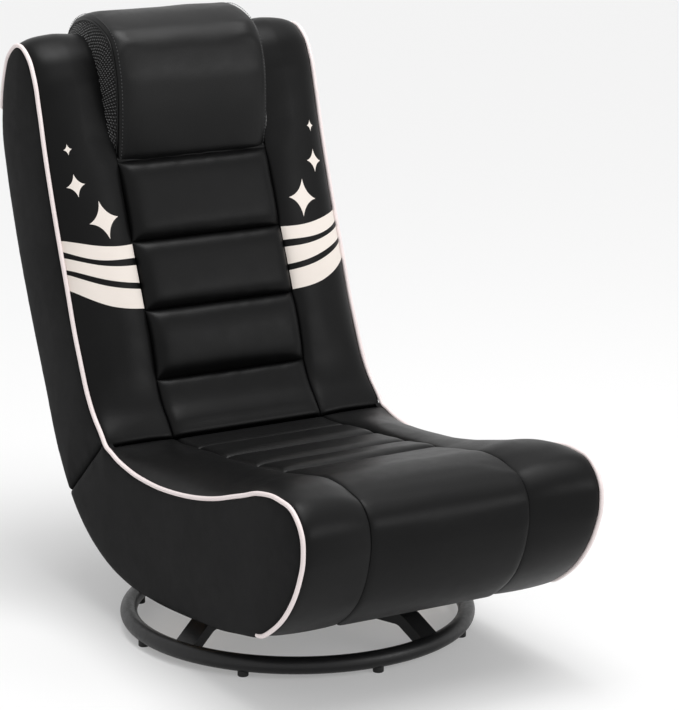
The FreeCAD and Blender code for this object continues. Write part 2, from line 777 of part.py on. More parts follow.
seat_room = side_of_fold(plate(half_face(False, PAD_T, COVER_T), -SEAT_BOARD_X, SEAT_BOARD_X), False, END_IN)
board = side_of_fold(plate(half_face(False, PAD_T, COVER_T), SEAT_BOARD_X, SIDE_IN_X), False, END_IN)
save_pair("seat_side_board", board.cut(seat_screws))

front_rail_y = FRONT_RAIL_Y - RAIL_T
save("seat_front_rail", seat_room.common(cross_box(front_rail_y, FRONT_RAIL_Y)))
save("seat_front_core", seat_room.common(cross_box(-900, front_rail_y)))
rear_rail = seat_room.common(local_box(-END_IN - RAIL_T, 0, -900, 900, -400, 400))
save("seat_rear_rail", rear_rail.cut(strap_room))
support = plate(strip_face(seat_front, PAD_T, PAD_T + SUPPORT_T), -SEAT_BOARD_X, SEAT_BOARD_X)
support = side_of_fold(support, False, END_IN + RAIL_T).common(cross_box(FRONT_RAIL_Y, 900))
save("seat_support_board", support.cut(strap_room))
deck_len = DECK_REAR_Y - DECK_FRONT_Y
deck = Part.makeBox(2 * SEAT_BOARD_X, deck_len, DECK_T, V(-SEAT_BOARD_X, DECK_FRONT_Y, DECK_Z))
deck = deck.cut(Part.makeCylinder(WASHER_R + 4.0, 60, V(0, 0, DECK_Z - 20)))
for x, y in bolt_spots:
    deck = deck.cut(Part.makeCylinder(TEE_R, 60, V(x, y, DECK_Z - 20)))
save("seat_deck", deck)

# Frame of the back

back_room = side_of_fold(plate(half_face(True, PAD_T, COVER_T), -BACK_BOARD_X, BACK_BOARD_X), True, END_IN)
board = side_of_fold(plate(half_face(True, PAD_T, COVER_T), BACK_BOARD_X, SIDE_IN_X), True, END_IN)
save_pair("back_side_board", board.cut(back_screws))


def across_back(s, thick):
    """A slab square to the back at a length along its line."""
    p, t, n = back_front.frame(s)
    far = 400.0
    pts = []
    for a, b in ((0, -far), (thick, -far), (thick, far), (0, far)):
        pts.append(V(-450, p[0] + a * t[0] + b * n[0], p[1] + a * t[1] + b * n[1]))
    return Part.Face(Part.makePolygon(pts + [pts[0]])).extrude(V(900, 0, 0))


bottom_rail = back_room.common(local_box(0, END_IN + RAIL_T, -900, 900, -400, 400))
save("back_bottom_rail", bottom_rail.cut(strap_room))
support = plate(
    strip_face(back_front.part(0, BACK_TOP_RAIL_S), -PAD_T, -PAD_T - SUPPORT_T), -BACK_BOARD_X, BACK_BOARD_X
)
support = side_of_fold(support, True, END_IN + RAIL_T)
save("back_support_board", support.cut(strap_room))
save("back_middle_rail", back_room.common(across_back(BACK_MID_RAIL_S, RAIL_T)).cut(support))
save("back_top_rail", back_room.common(across_back(BACK_TOP_RAIL_S, RAIL_T)))
save("back_top_core", back_room.common(across_back(BACK_TOP_RAIL_S + RAIL_T, 400)))

# Headrest pillow with its mesh sides

pillow_run = route(PILLOW_LINE, (-0.25, 0.97), (-0.05, -1.0))
inner_run = back_front.part(BACK_SEAMS[-1] + 2.0, back_front.length - 26.0).shifted(SEAM_GAP)


def pillow_edges(grow, x):
    outer = pillow_run.shifted(grow)
    a0, a1 = outer.ends()
    b0, b1 = inner_run.ends()
    return outer.edges(x) + bridge(a1, b1, x) + inner_run.turned().edges(x) + bridge(b0, a0, x)


crown_steps = ((-1.0, 0.0), (-0.9, 0.5), (-0.6, 0.85), (0.0, 1.0), (0.6, 0.85), (0.9, 0.5), (1.0, 0.0))
sections = [Part.Wire(pillow_edges(g * PILLOW_CROWN, f * PILLOW_X)) for f, g in crown_steps]
save("headrest_pillow", Part.makeLoft(sections, True, False))
save_pair("headrest_gusset", plate(face_of(pillow_edges(0.0, 0.0)), PILLOW_X, PILLOW_X + GUSSET_T))
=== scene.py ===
import bpy
import math
import numpy as np
from collections import namedtuple
from mathutils import Euler, Matrix, Vector
from mathutils.bvhtree import BVHTree
from mathutils.geometry import delaunay_2d_cdt


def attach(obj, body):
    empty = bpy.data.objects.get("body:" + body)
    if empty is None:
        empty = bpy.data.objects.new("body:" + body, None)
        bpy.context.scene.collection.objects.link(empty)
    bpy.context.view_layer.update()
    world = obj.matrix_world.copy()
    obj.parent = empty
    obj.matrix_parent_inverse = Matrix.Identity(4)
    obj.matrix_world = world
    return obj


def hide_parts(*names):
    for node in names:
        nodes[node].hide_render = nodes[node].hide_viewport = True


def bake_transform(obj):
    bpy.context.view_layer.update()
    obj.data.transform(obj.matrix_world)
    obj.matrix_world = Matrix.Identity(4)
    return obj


scene = bpy.context.scene
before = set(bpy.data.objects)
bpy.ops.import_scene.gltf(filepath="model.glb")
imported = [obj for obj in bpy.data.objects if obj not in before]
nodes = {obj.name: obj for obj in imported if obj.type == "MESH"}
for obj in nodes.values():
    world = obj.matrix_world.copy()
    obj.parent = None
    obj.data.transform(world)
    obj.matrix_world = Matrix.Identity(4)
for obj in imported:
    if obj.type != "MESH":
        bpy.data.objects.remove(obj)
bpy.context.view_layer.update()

# Side lines are (Y, Z) in millimetres, as in the part; meshes are scaled to metres.
MM = 0.001
CHANNEL_X = 120.0
PIPING_X = 225.0
PIPING_R = 3.1
SIDE_X = 226.0
CREASE = np.array([150.0, 255.0])
FOLD_REAR = np.array([266.0, 153.0])

# Piping lines from the crease outwards: Y, Z, then how high the long seam and the bolster's crown lie
SEAT_LINE = [
    (150, 255, -6, -6), (122, 243, 4, 8), (70, 233, 18, 22), (9, 231, 26, 28), (-80, 239, 26, 28),
    (-165, 256, 22, 23), (-248, 282, 12, 16), (-301, 299, 3, 12), (-345, 304, -6, 6), (-389, 295, -12, 0),
    (-408, 272, -13, -2), (-411, 245, -11, -2), (-399, 205, -5, 0), (-370, 160, 2, 2), (-312, 113, 5, 5),
]
BACK_LINE = [
    (150, 255, 3, 4), (187, 292, 8, 13), (229, 370, 22, 25), (267, 470, 18, 24), (297, 551, 16, 23),
    (324, 633, 13, 21), (341, 695, 9, 17), (354, 735, 7, 14), (373, 764, 7, 13), (404, 778, 8, 13),
    (438, 762, 7, 12), (458, 726, 3, 9), (469, 676, -4, 3),
]

# Lower edge of the seat, rear edge of the back, and the pillow from its front lip over the top
SEAT_UNDER = [
    (-312, 113), (-218, 86), (-104, 71), (14, 63), (76, 64), (155, 80), (214, 108), (266, 153),
]
BACK_REAR = [
    (469, 676), (470, 640), (459, 589), (433, 505), (392, 401), (346, 299), (298, 198), (266, 153),
]
PILLOW_LINE = [
    (316, 603), (306, 648), (303, 700), (308, 746), (325, 784), (364, 805), (420, 807), (457, 788),
    (476, 742), (478, 700),
]
SEAT_END_DIR = (0.86, -0.51)
BACK_END_DIR = (0.12, -0.993)
REAR_DIR = (0.643, 0.766)
PILLOW_START_DIR = (-0.25, 0.97)
PILLOW_END_DIR = (-0.05, -1.0)

# Cross seams, as lengths along the piping line from the crease
SEAT_SEAMS = [82.0, 169.0, 258.0, 335.0]
BACK_SEAMS = [80.0, 182.0, 282.0, 398.0]
PILLOW_X = 119.0
PILLOW_CROWN = 13.0
HANDS = {"left": 1.0, "right": -1.0}

# Sampling of lines, levels and noise
ARC_STEP = 1.5
LEVEL_REACH = 30
LEVEL_WIDTH = 10.0
NOISE_CELLS = 64
NOISE_START = 1000.0
TUBE_TIP = 0.02


# Side routes of tangent arcs


def unit(v):
    return np.asarray(v, float) / np.linalg.norm(v)


def run_length(points):
    """Length along a row of points, from 0 at its first."""
    return np.concatenate([[0.0], np.cumsum(np.linalg.norm(np.diff(points, axis=0), axis=1))])


def follow(at, run, points):
    """Points at lengths along a row of points."""
    return np.stack([np.interp(at, run, points[:, i]) for i in range(points.shape[1])], -1)


def arc(a, b, heading):
    """Points, length and last heading of an arc from a to b that leaves along a heading."""
    c = b - a
    turn = 2.0 * math.atan2(heading[0] * c[1] - heading[1] * c[0], heading.dot(c))
    chord = np.linalg.norm(c)
    h0 = math.atan2(heading[1], heading[0])
    n = max(4, int(chord / ARC_STEP))
    end = np.array([math.cos(h0 + turn), math.sin(h0 + turn)])
    if abs(turn) < 1e-5:
        return [a + c * i / n for i in range(1, n + 1)], chord, end
    rad = chord / (2.0 * math.sin(turn / 2.0))
    new = []
    for i in range(1, n + 1):
        g = h0 + turn * i / n
        new.append(a + rad * np.array([math.sin(g) - math.sin(h0), math.cos(h0) - math.cos(g)]))
    return new, rad * turn, end


class Line:
    """Tangent arcs through side points, kept as even samples."""

    def __init__(self, points, first, last):
        pts = [np.asarray(p[:2], float) for p in points]
        tangents = [unit(first)]
        for a, b, c in zip(pts, pts[1:], pts[2:]):
            u = b - a
            w = c - b
            tangents.append(unit(u / u.dot(u) + w / w.dot(w)))
        tangents.append(unit(last))
        out = [pts[0]]
        self.stations = [0.0]
        for p, q, t, r in zip(pts, pts[1:], tangents, tangents[1:]):
            v = q - p
            w = t + r
            k = 2.0 * (1.0 - t.dot(r))
            vw = v.dot(w)
            if k < 1e-6:
                d = v.dot(v) / (2.0 * vw)
            else:
                d = (-vw + math.sqrt(vw ** 2 + k * v.dot(v))) / k
            m = (p + q + d * (t - r)) / 2.0
            length = 0.0
            heading = t
            for a, b in ((p, m), (m, q)):
                new, run, heading = arc(a, b, heading)
                length += run
                out += new
            self.stations.append(self.stations[-1] + length)
        self.p = np.array(out)
        self.s = run_length(self.p)
        self.stations = np.array(self.stations) * self.s[-1] / self.stations[-1]
        self.length = self.s[-1]
        d = np.gradient(self.p, self.s, axis=0)
        d[0] = unit(first)
        d[-1] = unit(last)
        self.d = d / np.linalg.norm(d, axis=1)[:, None]

    def at(self, s):
        """Points, directions and left-hand normals at lengths along the line, straight past its ends."""
        s = np.asarray(s, float)
        c = np.clip(s, 0.0, self.length)
        p = follow(c, self.s, self.p)
        d = follow(c, self.s, self.d)
        d = d / np.linalg.norm(d, axis=-1)[..., None]
        p = p + (s - c)[..., None] * d
        return p, d, np.stack([-d[..., 1], d[..., 0]], -1)


IN_DIR = unit(FOLD_REAR - CREASE)
UP_DIR = np.array([-IN_DIR[1], IN_DIR[0]])
seat_front = Line(SEAT_LINE, -UP_DIR, SEAT_END_DIR)
back_front = Line(BACK_LINE, UP_DIR, BACK_END_DIR)
seat_under = Line(SEAT_UNDER, SEAT_END_DIR, REAR_DIR)
back_rear = Line(BACK_REAR, BACK_END_DIR, -np.array(REAR_DIR))
pillow_line = Line(PILLOW_LINE, PILLOW_START_DIR, PILLOW_END_DIR)


# Small helpers


def smooth_levels(line, table, column):
    """A smooth height along a line from the named points of its table."""
    s = np.arange(0.0, line.length + 1.0, 1.0)
    h = np.interp(s, line.stations, [row[column] for row in table])
    k = np.exp(-0.5 * (np.arange(-LEVEL_REACH, LEVEL_REACH + 1) / LEVEL_WIDTH) ** 2)
    padded = np.concatenate([np.full(LEVEL_REACH, h[0]), h, np.full(LEVEL_REACH, h[-1])])
    return s, np.convolve(padded, k / k.sum(), "valid")


def noise(u, v, seed):
    """Smooth value noise, about -1 to 1, with one lattice cell per unit."""
    g = np.random.RandomState(seed).uniform(-1.0, 1.0, (NOISE_CELLS, NOISE_CELLS))
    u = np.asarray(u, float) + NOISE_START
    v = np.asarray(v, float) + NOISE_START
    i = np.floor(u).astype(int)
    j = np.floor(v).astype(int)
    f = u - i
    h = v - j
    f = f * f * (3 - 2 * f)
    h = h * h * (3 - 2 * h)

    def corner(di, dj):
        return g[(i + di) % NOISE_CELLS, (j + dj) % NOISE_CELLS]

    low = corner(0, 0) * (1 - f) + corner(1, 0) * f
    high = corner(0, 1) * (1 - f) + corner(1, 1) * f
    return low * (1 - h) + high * h


def spaced(breaks, step, fine=(0.0, 1.0, 2.5, 5.0)):
    """Even values between breaks, finer close to each of them."""
    out = []
    for a, b in zip(breaks, breaks[1:]):
        near = [f for f in fine if f < (b - a) * 0.3]
        lo = a + near[-1]
        hi = b - near[-1]
        n = max(1, int(round((hi - lo) / step)))
        out += [a + f for f in near]
        out += list(np.linspace(lo, hi, n + 1)[1:-1])
        out += [b - f for f in reversed(near[1:])]
    out.append(breaks[-1])
    return np.array(out)


def placed(name, data):
    """A new object in the scene."""
    obj = bpy.data.objects.new(name, data)
    scene.collection.objects.link(obj)
    return obj


def mesh_object(name, verts, faces, material, degrees=55.0, uv=None):
    """A mesh from millimetre points, with smooth faces and sharp edges past an angle."""
    mesh = bpy.data.meshes.new(name)
    mesh.from_pydata((np.asarray(verts, float) * MM).tolist(), [], faces)
    mesh.validate()
    mesh.polygons.foreach_set("use_smooth", np.ones(len(mesh.polygons), bool))
    mesh.set_sharp_from_angle(angle=math.radians(degrees))
    if uv is not None:
        layer = mesh.uv_layers.new(name="pattern")
        index = np.zeros(len(mesh.loops), int)
        mesh.loops.foreach_get("vertex_index", index)
        layer.data.foreach_set("uv", (np.asarray(uv, float)[index] * MM).ravel())
    mesh.materials.append(material)
    mesh.update()
    return placed(name, mesh)


def grid_faces(n, m, flip=False, start=0):
    faces = []
    for i in range(n - 1):
        for j in range(m - 1):
            a = start + i * m + j
            f = (a, a + 1, a + m + 1, a + m)
            faces.append(f[::-1] if flip else f)
    return faces


def facing(faces, flip):
    """Faces, turned over where asked."""
    return [f[::-1] for f in faces] if flip else list(faces)


def at_x(x, points):
    """Side points placed at one x."""
    return np.column_stack([np.full(len(points), x), points])


def grid_rim(n, m):
    """Indices round the edge of a grid of n rows and m columns."""
    rim = list(range(m)) + [i * m + m - 1 for i in range(1, n)]
    return rim + list(range(n * m - 2, (n - 1) * m - 1, -1)) + [i * m for i in range(n - 2, 0, -1)]


def join_meshes(parts):
    """Several (verts, faces) as one."""
    verts = []
    faces = []
    for v, f in parts:
        base = len(verts)
        verts += [tuple(p) for p in v]
        faces += [tuple(i + base for i in q) for q in f]
    return verts, faces


def tube(points, radius, sides, taper):
    """A round closed tube along points in millimetres, rounded off over a length at both ends."""
    pts = np.asarray(points, float)
    n = len(pts)
    d = np.gradient(pts, axis=0)
    d /= np.linalg.norm(d, axis=1)[:, None]
    along = run_length(pts)
    near = np.minimum(1.0, np.minimum(along, along[-1] - along) / taper)
    r = radius * np.sqrt(1.0 - (1.0 - near) ** 2) + TUBE_TIP
    turns = 2.0 * math.pi * np.arange(sides)[:, None] / sides
    normal = np.array([0.0, 0.0, 1.0] if abs(d[0, 0]) > 0.9 else [1.0, 0.0, 0.0])
    verts = []
    for i in range(n):
        normal = unit(normal - d[i] * d[i].dot(normal))
        side = np.cross(d[i], normal)
        verts += list(pts[i] + r[i] * (np.cos(turns) * normal + np.sin(turns) * side))
    faces = []
    for i in range(0, (n - 1) * sides, sides):
        for k in range(sides):
            a = i + k
            b = i + (k + 1) % sides
            faces.append((a, b, b + sides, a + sides))
    faces.append(tuple(range(sides))[::-1])
    faces.append(tuple(range((n - 1) * sides, n * sides)))
    return verts, faces


def outward(line, side, s, x, h):
    """Millimetre points at a height over a side line; side is +1 for the back and -1 for the seat."""
    s, x, h = np.broadcast_arrays(np.asarray(s, float), np.asarray(x, float), np.asarray(h, float))
    p, _, n = line.at(s)
    return np.stack([x, p[..., 0] + side * h * n[..., 0], p[..., 1] + side * h * n[..., 1]], -1)


# Materials


def material(name):
    m = bpy.data.materials.new(name)
    m.use_nodes = True
    return m, m.node_tree, m.node_tree.nodes["Principled BSDF"]


def feed(tree, n, values):
    """Sets a node's inputs, and links those that are given another node's output."""
    for key, value in values.items():
        if isinstance(value, bpy.types.NodeSocket):
            tree.links.new(value, n.inputs[key])
        else:
            n.inputs[key].default_value = value


def node(tree, kind, values=None, **settings):
    n = tree.nodes.new("ShaderNode" + kind)
    for key, value in settings.items():
        setattr(n, key, value)
    feed(tree, n, values or {})
    return n


def spread(tree, source, low, high, lo=0.0, hi=1.0):
    """A value moved from one range to another."""
    values = {"Value": source, "From Min": lo, "From Max": hi, "To Min": low, "To Max": high}
    return node(tree, "MapRange", values).outputs["Result"]


def texture(tree, where, kind, values, stretch=None, feature=None):
    """The height of a texture, on a place that may be stretched first."""
    if stretch:
        where = node(tree, "Mapping", {"Vector": where, "Scale": stretch}).outputs["Vector"]
    settings = {"feature": feature} if feature else {}
    n = node(tree, "Tex" + kind, {"Vector": where, **values}, **settings)
    return n.outputs["Distance" if kind == "Voronoi" else "Fac"]


def surface(name, textures, tone, shine, bumps, inputs=None, uv_map=None):
    """A finish whose tone, roughness and bumps each follow a named texture.

    The tone has colour stops, the roughness a range, and each bump a strength and a distance.
    """
    m, tree, shader = material(name)
    if uv_map:
        where = node(tree, "UVMap", uv_map=uv_map).outputs["UV"]
    else:
        where = node(tree, "TexCoord").outputs["Object"]
    heights = {key: texture(tree, where, *spec) for key, spec in textures.items()}
    colour = node(tree, "ValToRGB", {"Fac": heights[tone[0]]})
    while len(colour.color_ramp.elements) < len(tone) - 1:
        colour.color_ramp.elements.new(0.5)
    for stop, (at, rgb) in zip(colour.color_ramp.elements, tone[1:]):
        stop.position = at
        stop.color = (*rgb, 1.0)
    rough = spread(tree, heights[shine[0]], *shine[1:])
    below = {}
    for key, strength, distance in bumps:
        values = {"Height": heights[key], "Strength": strength, "Distance": distance, **below}
        below = {"Normal": node(tree, "Bump", values).outputs["Normal"]}
    feed(tree, shader, {"Base Color": colour.outputs["Color"], "Roughness": rough})
    feed(tree, shader, {**below, **(inputs or {})})
    return m


def leather(name, dark, light, rough=(0.36, 0.41), pebble=850.0, soft=0.5, gloss=0.12):
    """Coated leather: pebbled grain, soft creasing, uneven gloss and tone."""
    textures = {
        "cloud": ("Noise", {"Scale": 7.0, "Detail": 4.0, "Roughness": 0.55}),
        "crease": ("Noise", {"Scale": 55.0, "Detail": 3.0, "Distortion": 0.6}),
        "grain": ("Voronoi", {"Scale": pebble, "Smoothness": 0.35}, None, "SMOOTH_F1"),
        "pore": ("Noise", {"Scale": 2600.0, "Detail": 2.0}),
    }
    tone = ("cloud", (0.3, dark), (0.72, light))
    bumps = [("crease", 0.05 * soft, 0.002), ("grain", 0.28, 0.0003), ("pore", 0.12, 0.0001)]
    return surface(name, textures, tone, ("crease", *rough, 0.3, 0.7), bumps, {"Specular IOR Level": gloss})


def thread(name, dark, light):
    """Twisted yarn: the light end of its twist bands is a painted glint on dark yarn."""
    textures = {"twist": ("Wave", {"Scale": 700.0, "Distortion": 2.0, "Detail": 2.0})}
    tone = ("twist", (0.2, dark), (0.8, light))
    return surface(name, textures, tone, ("twist", 0.45, 0.65), [("twist", 0.5, 0.0002)])


BLACK = leather("black_leather", (0.0026, 0.0026, 0.0027), (0.0042, 0.0042, 0.0043))
PILLOW_HIDE = leather("pillow_leather", (0.0028, 0.0028, 0.0029), (0.0045, 0.0045, 0.0046), gloss=0.20)
REAR_HIDE = leather("rear_leather", (0.0045, 0.0045, 0.0046), (0.0070, 0.0070, 0.0071), (0.40, 0.48))
# A copy of the black leather for the side panels, set for the light on them: its gloss is cut so that they
# show less reflection and look darker from the front, and its tone is lifted about threefold as a painted
# sheen for the side views.
SIDE_LEATHER_PAINTED_SHEEN = leather("side_leather", (0.0075, 0.0075, 0.0077), (0.0115, 0.0115, 0.0118), (0.48, 0.54),
                    gloss=0.03)
PALE = leather("pale_piping", (0.82, 0.72, 0.71), (0.88, 0.79, 0.78), (0.36, 0.48), 1500.0, 0.3, 0.4)
PRINT = leather("pale_band", (0.75, 0.685, 0.63), (0.80, 0.735, 0.68), (0.42, 0.56), 850.0, 0.6, 0.3)
# Raised loops of the black mesh yarn, given a tone up to about eight times the mesh ground as a painted
# glint.
LOOP_YARN_PAINTED_GLINT = thread("mesh_yarn", (0.03, 0.03, 0.03), (0.16, 0.16, 0.16))
# Black stitching thread, its lighter twist bands a painted glint.
THREAD_PAINTED_GLINT = thread("black_thread", (0.012, 0.012, 0.012), (0.05, 0.05, 0.052))

# Open spacer mesh: rows of small loops over a dark ground
MESH = surface(
    "knit_mesh",
    {"loops": ("Voronoi", {"Scale": 300.0, "Randomness": 0.35}, (1.0, 0.62, 1.0)),
     "rows": ("Wave", {"Scale": 90.0, "Distortion": 1.5, "Detail": 1.0}),
     "fibre": ("Noise", {"Scale": 1800.0, "Detail": 2.0})},
    ("loops", (0.05, (0.002, 0.002, 0.002)), (0.3, (0.006, 0.006, 0.006)), (0.6, (0.02, 0.02, 0.02))),
    ("fibre", 0.55, 0.8), [("loops", 1.0, 0.0016), ("rows", 0.3, 0.0008), ("fibre", 0.2, 0.0002)],
    {"Specular IOR Level": 0.15}, "pattern")

# Thin black dust cloth of pressed fibres
LINING = surface(
    "lining_cloth",
    {"fibre": ("Noise", {"Scale": 900.0, "Detail": 5.0, "Roughness": 0.7}),
     "dots": ("Voronoi", {"Scale": 420.0, "Randomness": 0.15})},
    ("fibre", (0.3, (0.009, 0.009, 0.010)), (0.7, (0.028, 0.028, 0.03))),
    ("fibre", 0.75, 0.95), [("dots", 0.5, 0.0004), ("fibre", 0.3, 0.0003)])

# Satin black powder coat: clouded tone, fine orange peel and gloss dulled by dust
COAT = surface(
    "black_powder_coat",
    {"cloud": ("Noise", {"Scale": 14.0, "Detail": 3.0}),
     "peel": ("Noise", {"Scale": 520.0, "Detail": 2.0}),
     "dust": ("Noise", {"Scale": 160.0, "Detail": 6.0, "Roughness": 0.7})},
    ("cloud", (0.3, (0.005, 0.005, 0.0055)), (0.75, (0.011, 0.011, 0.0115))),
    ("dust", 0.32, 0.52, 0.3, 0.7), [("peel", 0.16, 0.0004)], {"Specular IOR Level": 0.36})

# Zinc-plated steel with a faint spangle
ZINC = surface(
    "zinc_steel",
    {"spangle": ("Voronoi", {"Scale": 160.0}), "brush": ("Noise", {"Scale": 700.0, "Detail": 3.0})},
    ("spangle", (0.0, (0.55, 0.56, 0.58)), (0.8, (0.40, 0.41, 0.44))),
    ("brush", 0.22, 0.48), [("brush", 0.12, 0.0002)], {"Metallic": 1.0})

# Birch ply: long grain with a wavy figure in its gloss
GRAIN_STRETCH = (1.0, 9.0, 9.0)
PLY = surface(
    "birch_ply",
    {"grain": ("Noise", {"Scale": 9.0, "Detail": 7.0, "Distortion": 1.2}, GRAIN_STRETCH),
     "figure": ("Wave", {"Scale": 3.0, "Distortion": 5.0, "Detail": 3.0}, GRAIN_STRETCH)},
    ("grain", (0.25, (0.50, 0.33, 0.18)), (0.5, (0.63, 0.45, 0.27)), (0.75, (0.71, 0.54, 0.35))),
    ("figure", 0.5, 0.72), [("grain", 0.3, 0.0004)])
RUBBER = surface(
    "black_rubber", {"mould": ("Noise", {"Scale": 350.0, "Detail": 4.0})},
    ("mould", (0.3, (0.008, 0.008, 0.008)), (0.7, (0.02, 0.02, 0.02))),
    ("mould", 0.7, 0.9), [("mould", 0.25, 0.0003)])

for name, obj in nodes.items():
    if name == "base_feet":
        finish = RUBBER
    elif name.startswith("base_") or "hinge" in name:
        finish = COAT
    elif name.endswith(("_rail", "_deck")) or "_board" in name:
        finish = PLY
    else:
        finish = ZINC
    for slot in obj.material_slots:
        slot.material = finish

# Padded front of both halves

Half = namedtuple("Half", "line rear side table seams puffs")
HALVES = {
    "seat": Half(seat_front, seat_under, -1.0, SEAT_LINE, SEAT_SEAMS, [3.0, 4.5, 4.5, 4.5, 1.5]),
    "back": Half(back_front, back_rear, 1.0, BACK_LINE, BACK_SEAMS, [8.0, 13.0, 13.0, 13.0, 0.0]),
}
SEAM_LEVEL = {name: smooth_levels(half.line, half.table, 2) for name, half in HALVES.items()}
CROWN_LEVEL = {name: smooth_levels(half.line, half.table, 3) for name, half in HALVES.items()}
CORES = {"seat": "seat_front_core", "back": "back_top_core"}

# Lip of the back over the crease, and the seat's dip for it as heights at lengths past the lip
LIP_SPAN = 30.0
LIP_R = 7.0
LIP_OUT = 8.5
LIP_MORE = 2.5
LIP_EASE_X = 160.0
LIP_EASE = 38.0
LIP_HIGH = 9.0
LIP_SLOPE = 0.8
LIP_BLEND = 3.0
CHANNEL_DIP = ([-6.0, 1.2, 2.2, 8.5, 48.0], [-17.0, -11.0, -6.5, 2.0, 34.0])
BOLSTER_DIP = ([-5.0, 2.0, 46.0], [-14.0, -1.0, 32.0])

# Rounding of the puffed panels, depth and width of their seams, and how calm the leather lies
ROLL = {"seat": 5.0, "back": 7.0}
EDGE_WIDTH = {"seat": 2.5, "back": 6.0}
CALM = {"seat": 0.4, "back": 1.0}
CROSS_SINK = 1.6
CROSS_WIDTH = 2.2
LONG_SINK = 1.8
LONG_WIDTH = 2.4
PIPING_SINK = 2.2
PIPING_WIDTH = 2.5
BOLSTER_OUT_X = PIPING_X - 3.0
PAD_DEPTH = 22.0
PAD_START = 0.4
SEAM_GAP = 0.2
SEWN_WIDTH = 1.3


def soft_min(a, b, k):
    """The lower of two heights, rounded where they cross."""
    return 0.5 * (a + b - np.sqrt((a - b) ** 2 + k ** 2))


def lip_reach(x):
    """How far the back's lower edge hangs over the crease: more over the channel than over the hinges."""
    return LIP_OUT + LIP_MORE * np.clip((LIP_EASE_X - np.abs(x)) / LIP_EASE, 0.0, 1.0)


def lip_length(half, s, x):
    """Lengths along a half, stretched over the crease on the back."""
    s, x = np.broadcast_arrays(s, x)
    if half == "seat":
        return s
    reach = lip_reach(x)
    return np.where(s < LIP_SPAN, (LIP_SPAN + reach) * s / LIP_SPAN - reach, s)


def at_crease(half, h, s, x):
    """The lower edge of the back is a soft roll, and the seat dips to take it when the back folds."""
    if half == "seat":
        beyond = s - lip_reach(x)
        channel = np.interp(beyond, *CHANNEL_DIP)
        bolster = np.interp(beyond, *BOLSTER_DIP)
        return np.minimum(h, np.where(np.abs(x) < CHANNEL_X, channel, bolster))
    d = np.clip(s + lip_reach(x), 0.0, LIP_R)
    round_off = LIP_R - np.sqrt(LIP_R ** 2 - (LIP_R - d) ** 2)
    return soft_min(h, LIP_HIGH + LIP_SLOPE * np.maximum(0.0, s), LIP_BLEND) - round_off


def seam_depth(half, s):
    """Depth of the long seams: deep beside the cushions, a hairline on the front roll and the top."""
    last = HALVES[half].seams[-1]
    return 0.45 + 0.55 * np.clip((last + 20.0 - s) / 60.0, 0.0, 1.0)


def pucker(pattern, d, reach, start=3.0):
    """A pattern of small folds that begins just off a seam and fades away from it."""
    return pattern * np.exp(-d / reach) * (1.0 - np.exp(-d / start))


def channel_height(half, s, x):
    """Height of the puffed panels between the two long seams."""
    seams, puffs = HALVES[half].seams, HALVES[half].puffs
    w = CHANNEL_X
    s, x = np.broadcast_arrays(s, x)
    breaks = np.array([0.0] + seams)
    k = np.clip(np.searchsorted(breaks, s, "right") - 1, 0, len(puffs) - 1)
    puff = np.array(puffs)[k]
    d_cross = np.min(np.abs(s[..., None] - np.array(seams)), axis=-1)
    d_long = np.maximum(0.0, w - np.abs(x))
    deep = seam_depth(half, s)
    across = (1.0 - np.exp(-d_long / EDGE_WIDTH[half])) * (1.0 + 0.15 * (1.0 - (x / w) ** 2))
    along = 1.0 - np.exp(-d_cross / ROLL[half])
    pull = pucker(noise(x / 13.0, s / 60.0, 11), d_cross, 11.0)
    pull_side = pucker(noise(s / 15.0, x / 60.0, 12), d_long, 10.0)
    sway = noise(x / 70.0, s / 55.0, 13)
    h = np.interp(s, *SEAM_LEVEL[half]) + puff * along * across
    if half == "back":
        h = h + (-1.0 - h) * np.clip((s - seams[-1] - 4.0) / 20.0, 0.0, 1.0)
    h = h - CROSS_SINK * np.exp(-d_cross / CROSS_WIDTH) - LONG_SINK * deep * np.exp(-d_long / LONG_WIDTH)
    folds = 1.2 * pull + 0.9 * deep * pull_side + 0.5 * deep * sway
    h = h + CALM[half] * folds * np.minimum(1.0, d_long / 6.0)
    return at_crease(half, h, s, x)


def bolster_height(half, s, x):
    """Height of a side bolster, for x from the channel seam to the piping."""
    s, x = np.broadcast_arrays(s, x)
    low = np.interp(s, *SEAM_LEVEL[half])
    crown = np.interp(s, *CROWN_LEVEL[half])
    u = (x - CHANNEL_X) / (BOLSTER_OUT_X - CHANNEL_X)
    edge = np.minimum(1.5, 0.5 + 0.1 * s if half == "back" else 0.5 * s - 7.0)
    lift = crown - 0.5 * (low + edge)
    beside = np.clip((s - BACK_SEAMS[-1]) / 40.0, 0.0, 1.0) if half == "back" else 0.0
    power = np.where(u > 0.5, 3.2, 2.2 - 0.9 * beside)
    h = low + (edge - low) * u + lift * (1.0 - np.abs(2.0 * u - 1.0) ** power)
    d_in = np.abs(x - CHANNEL_X)
    d_out = np.abs(BOLSTER_OUT_X - x)
    deep = seam_depth(half, s)
    h = h + 3.0 * (2.0 * deep - 0.9) * (1.0 - np.exp(-d_in / 5.0)) * np.exp(-d_in / 30.0)
    h = h - LONG_SINK * deep * np.exp(-d_in / LONG_WIDTH) - PIPING_SINK * np.exp(-d_out / PIPING_WIDTH)
    pull = pucker(noise(s / 17.0, x / 50.0, 21), d_in, 12.0)
    pull_out = pucker(noise(s / 21.0, x / 50.0, 22), d_out, 14.0)
    sway = noise(s / 90.0, x / 60.0, 23)
    h = h + deep * (0.9 * pull + 0.9 * pull_out) + 0.6 * sway
    return at_crease(half, h, s, x)


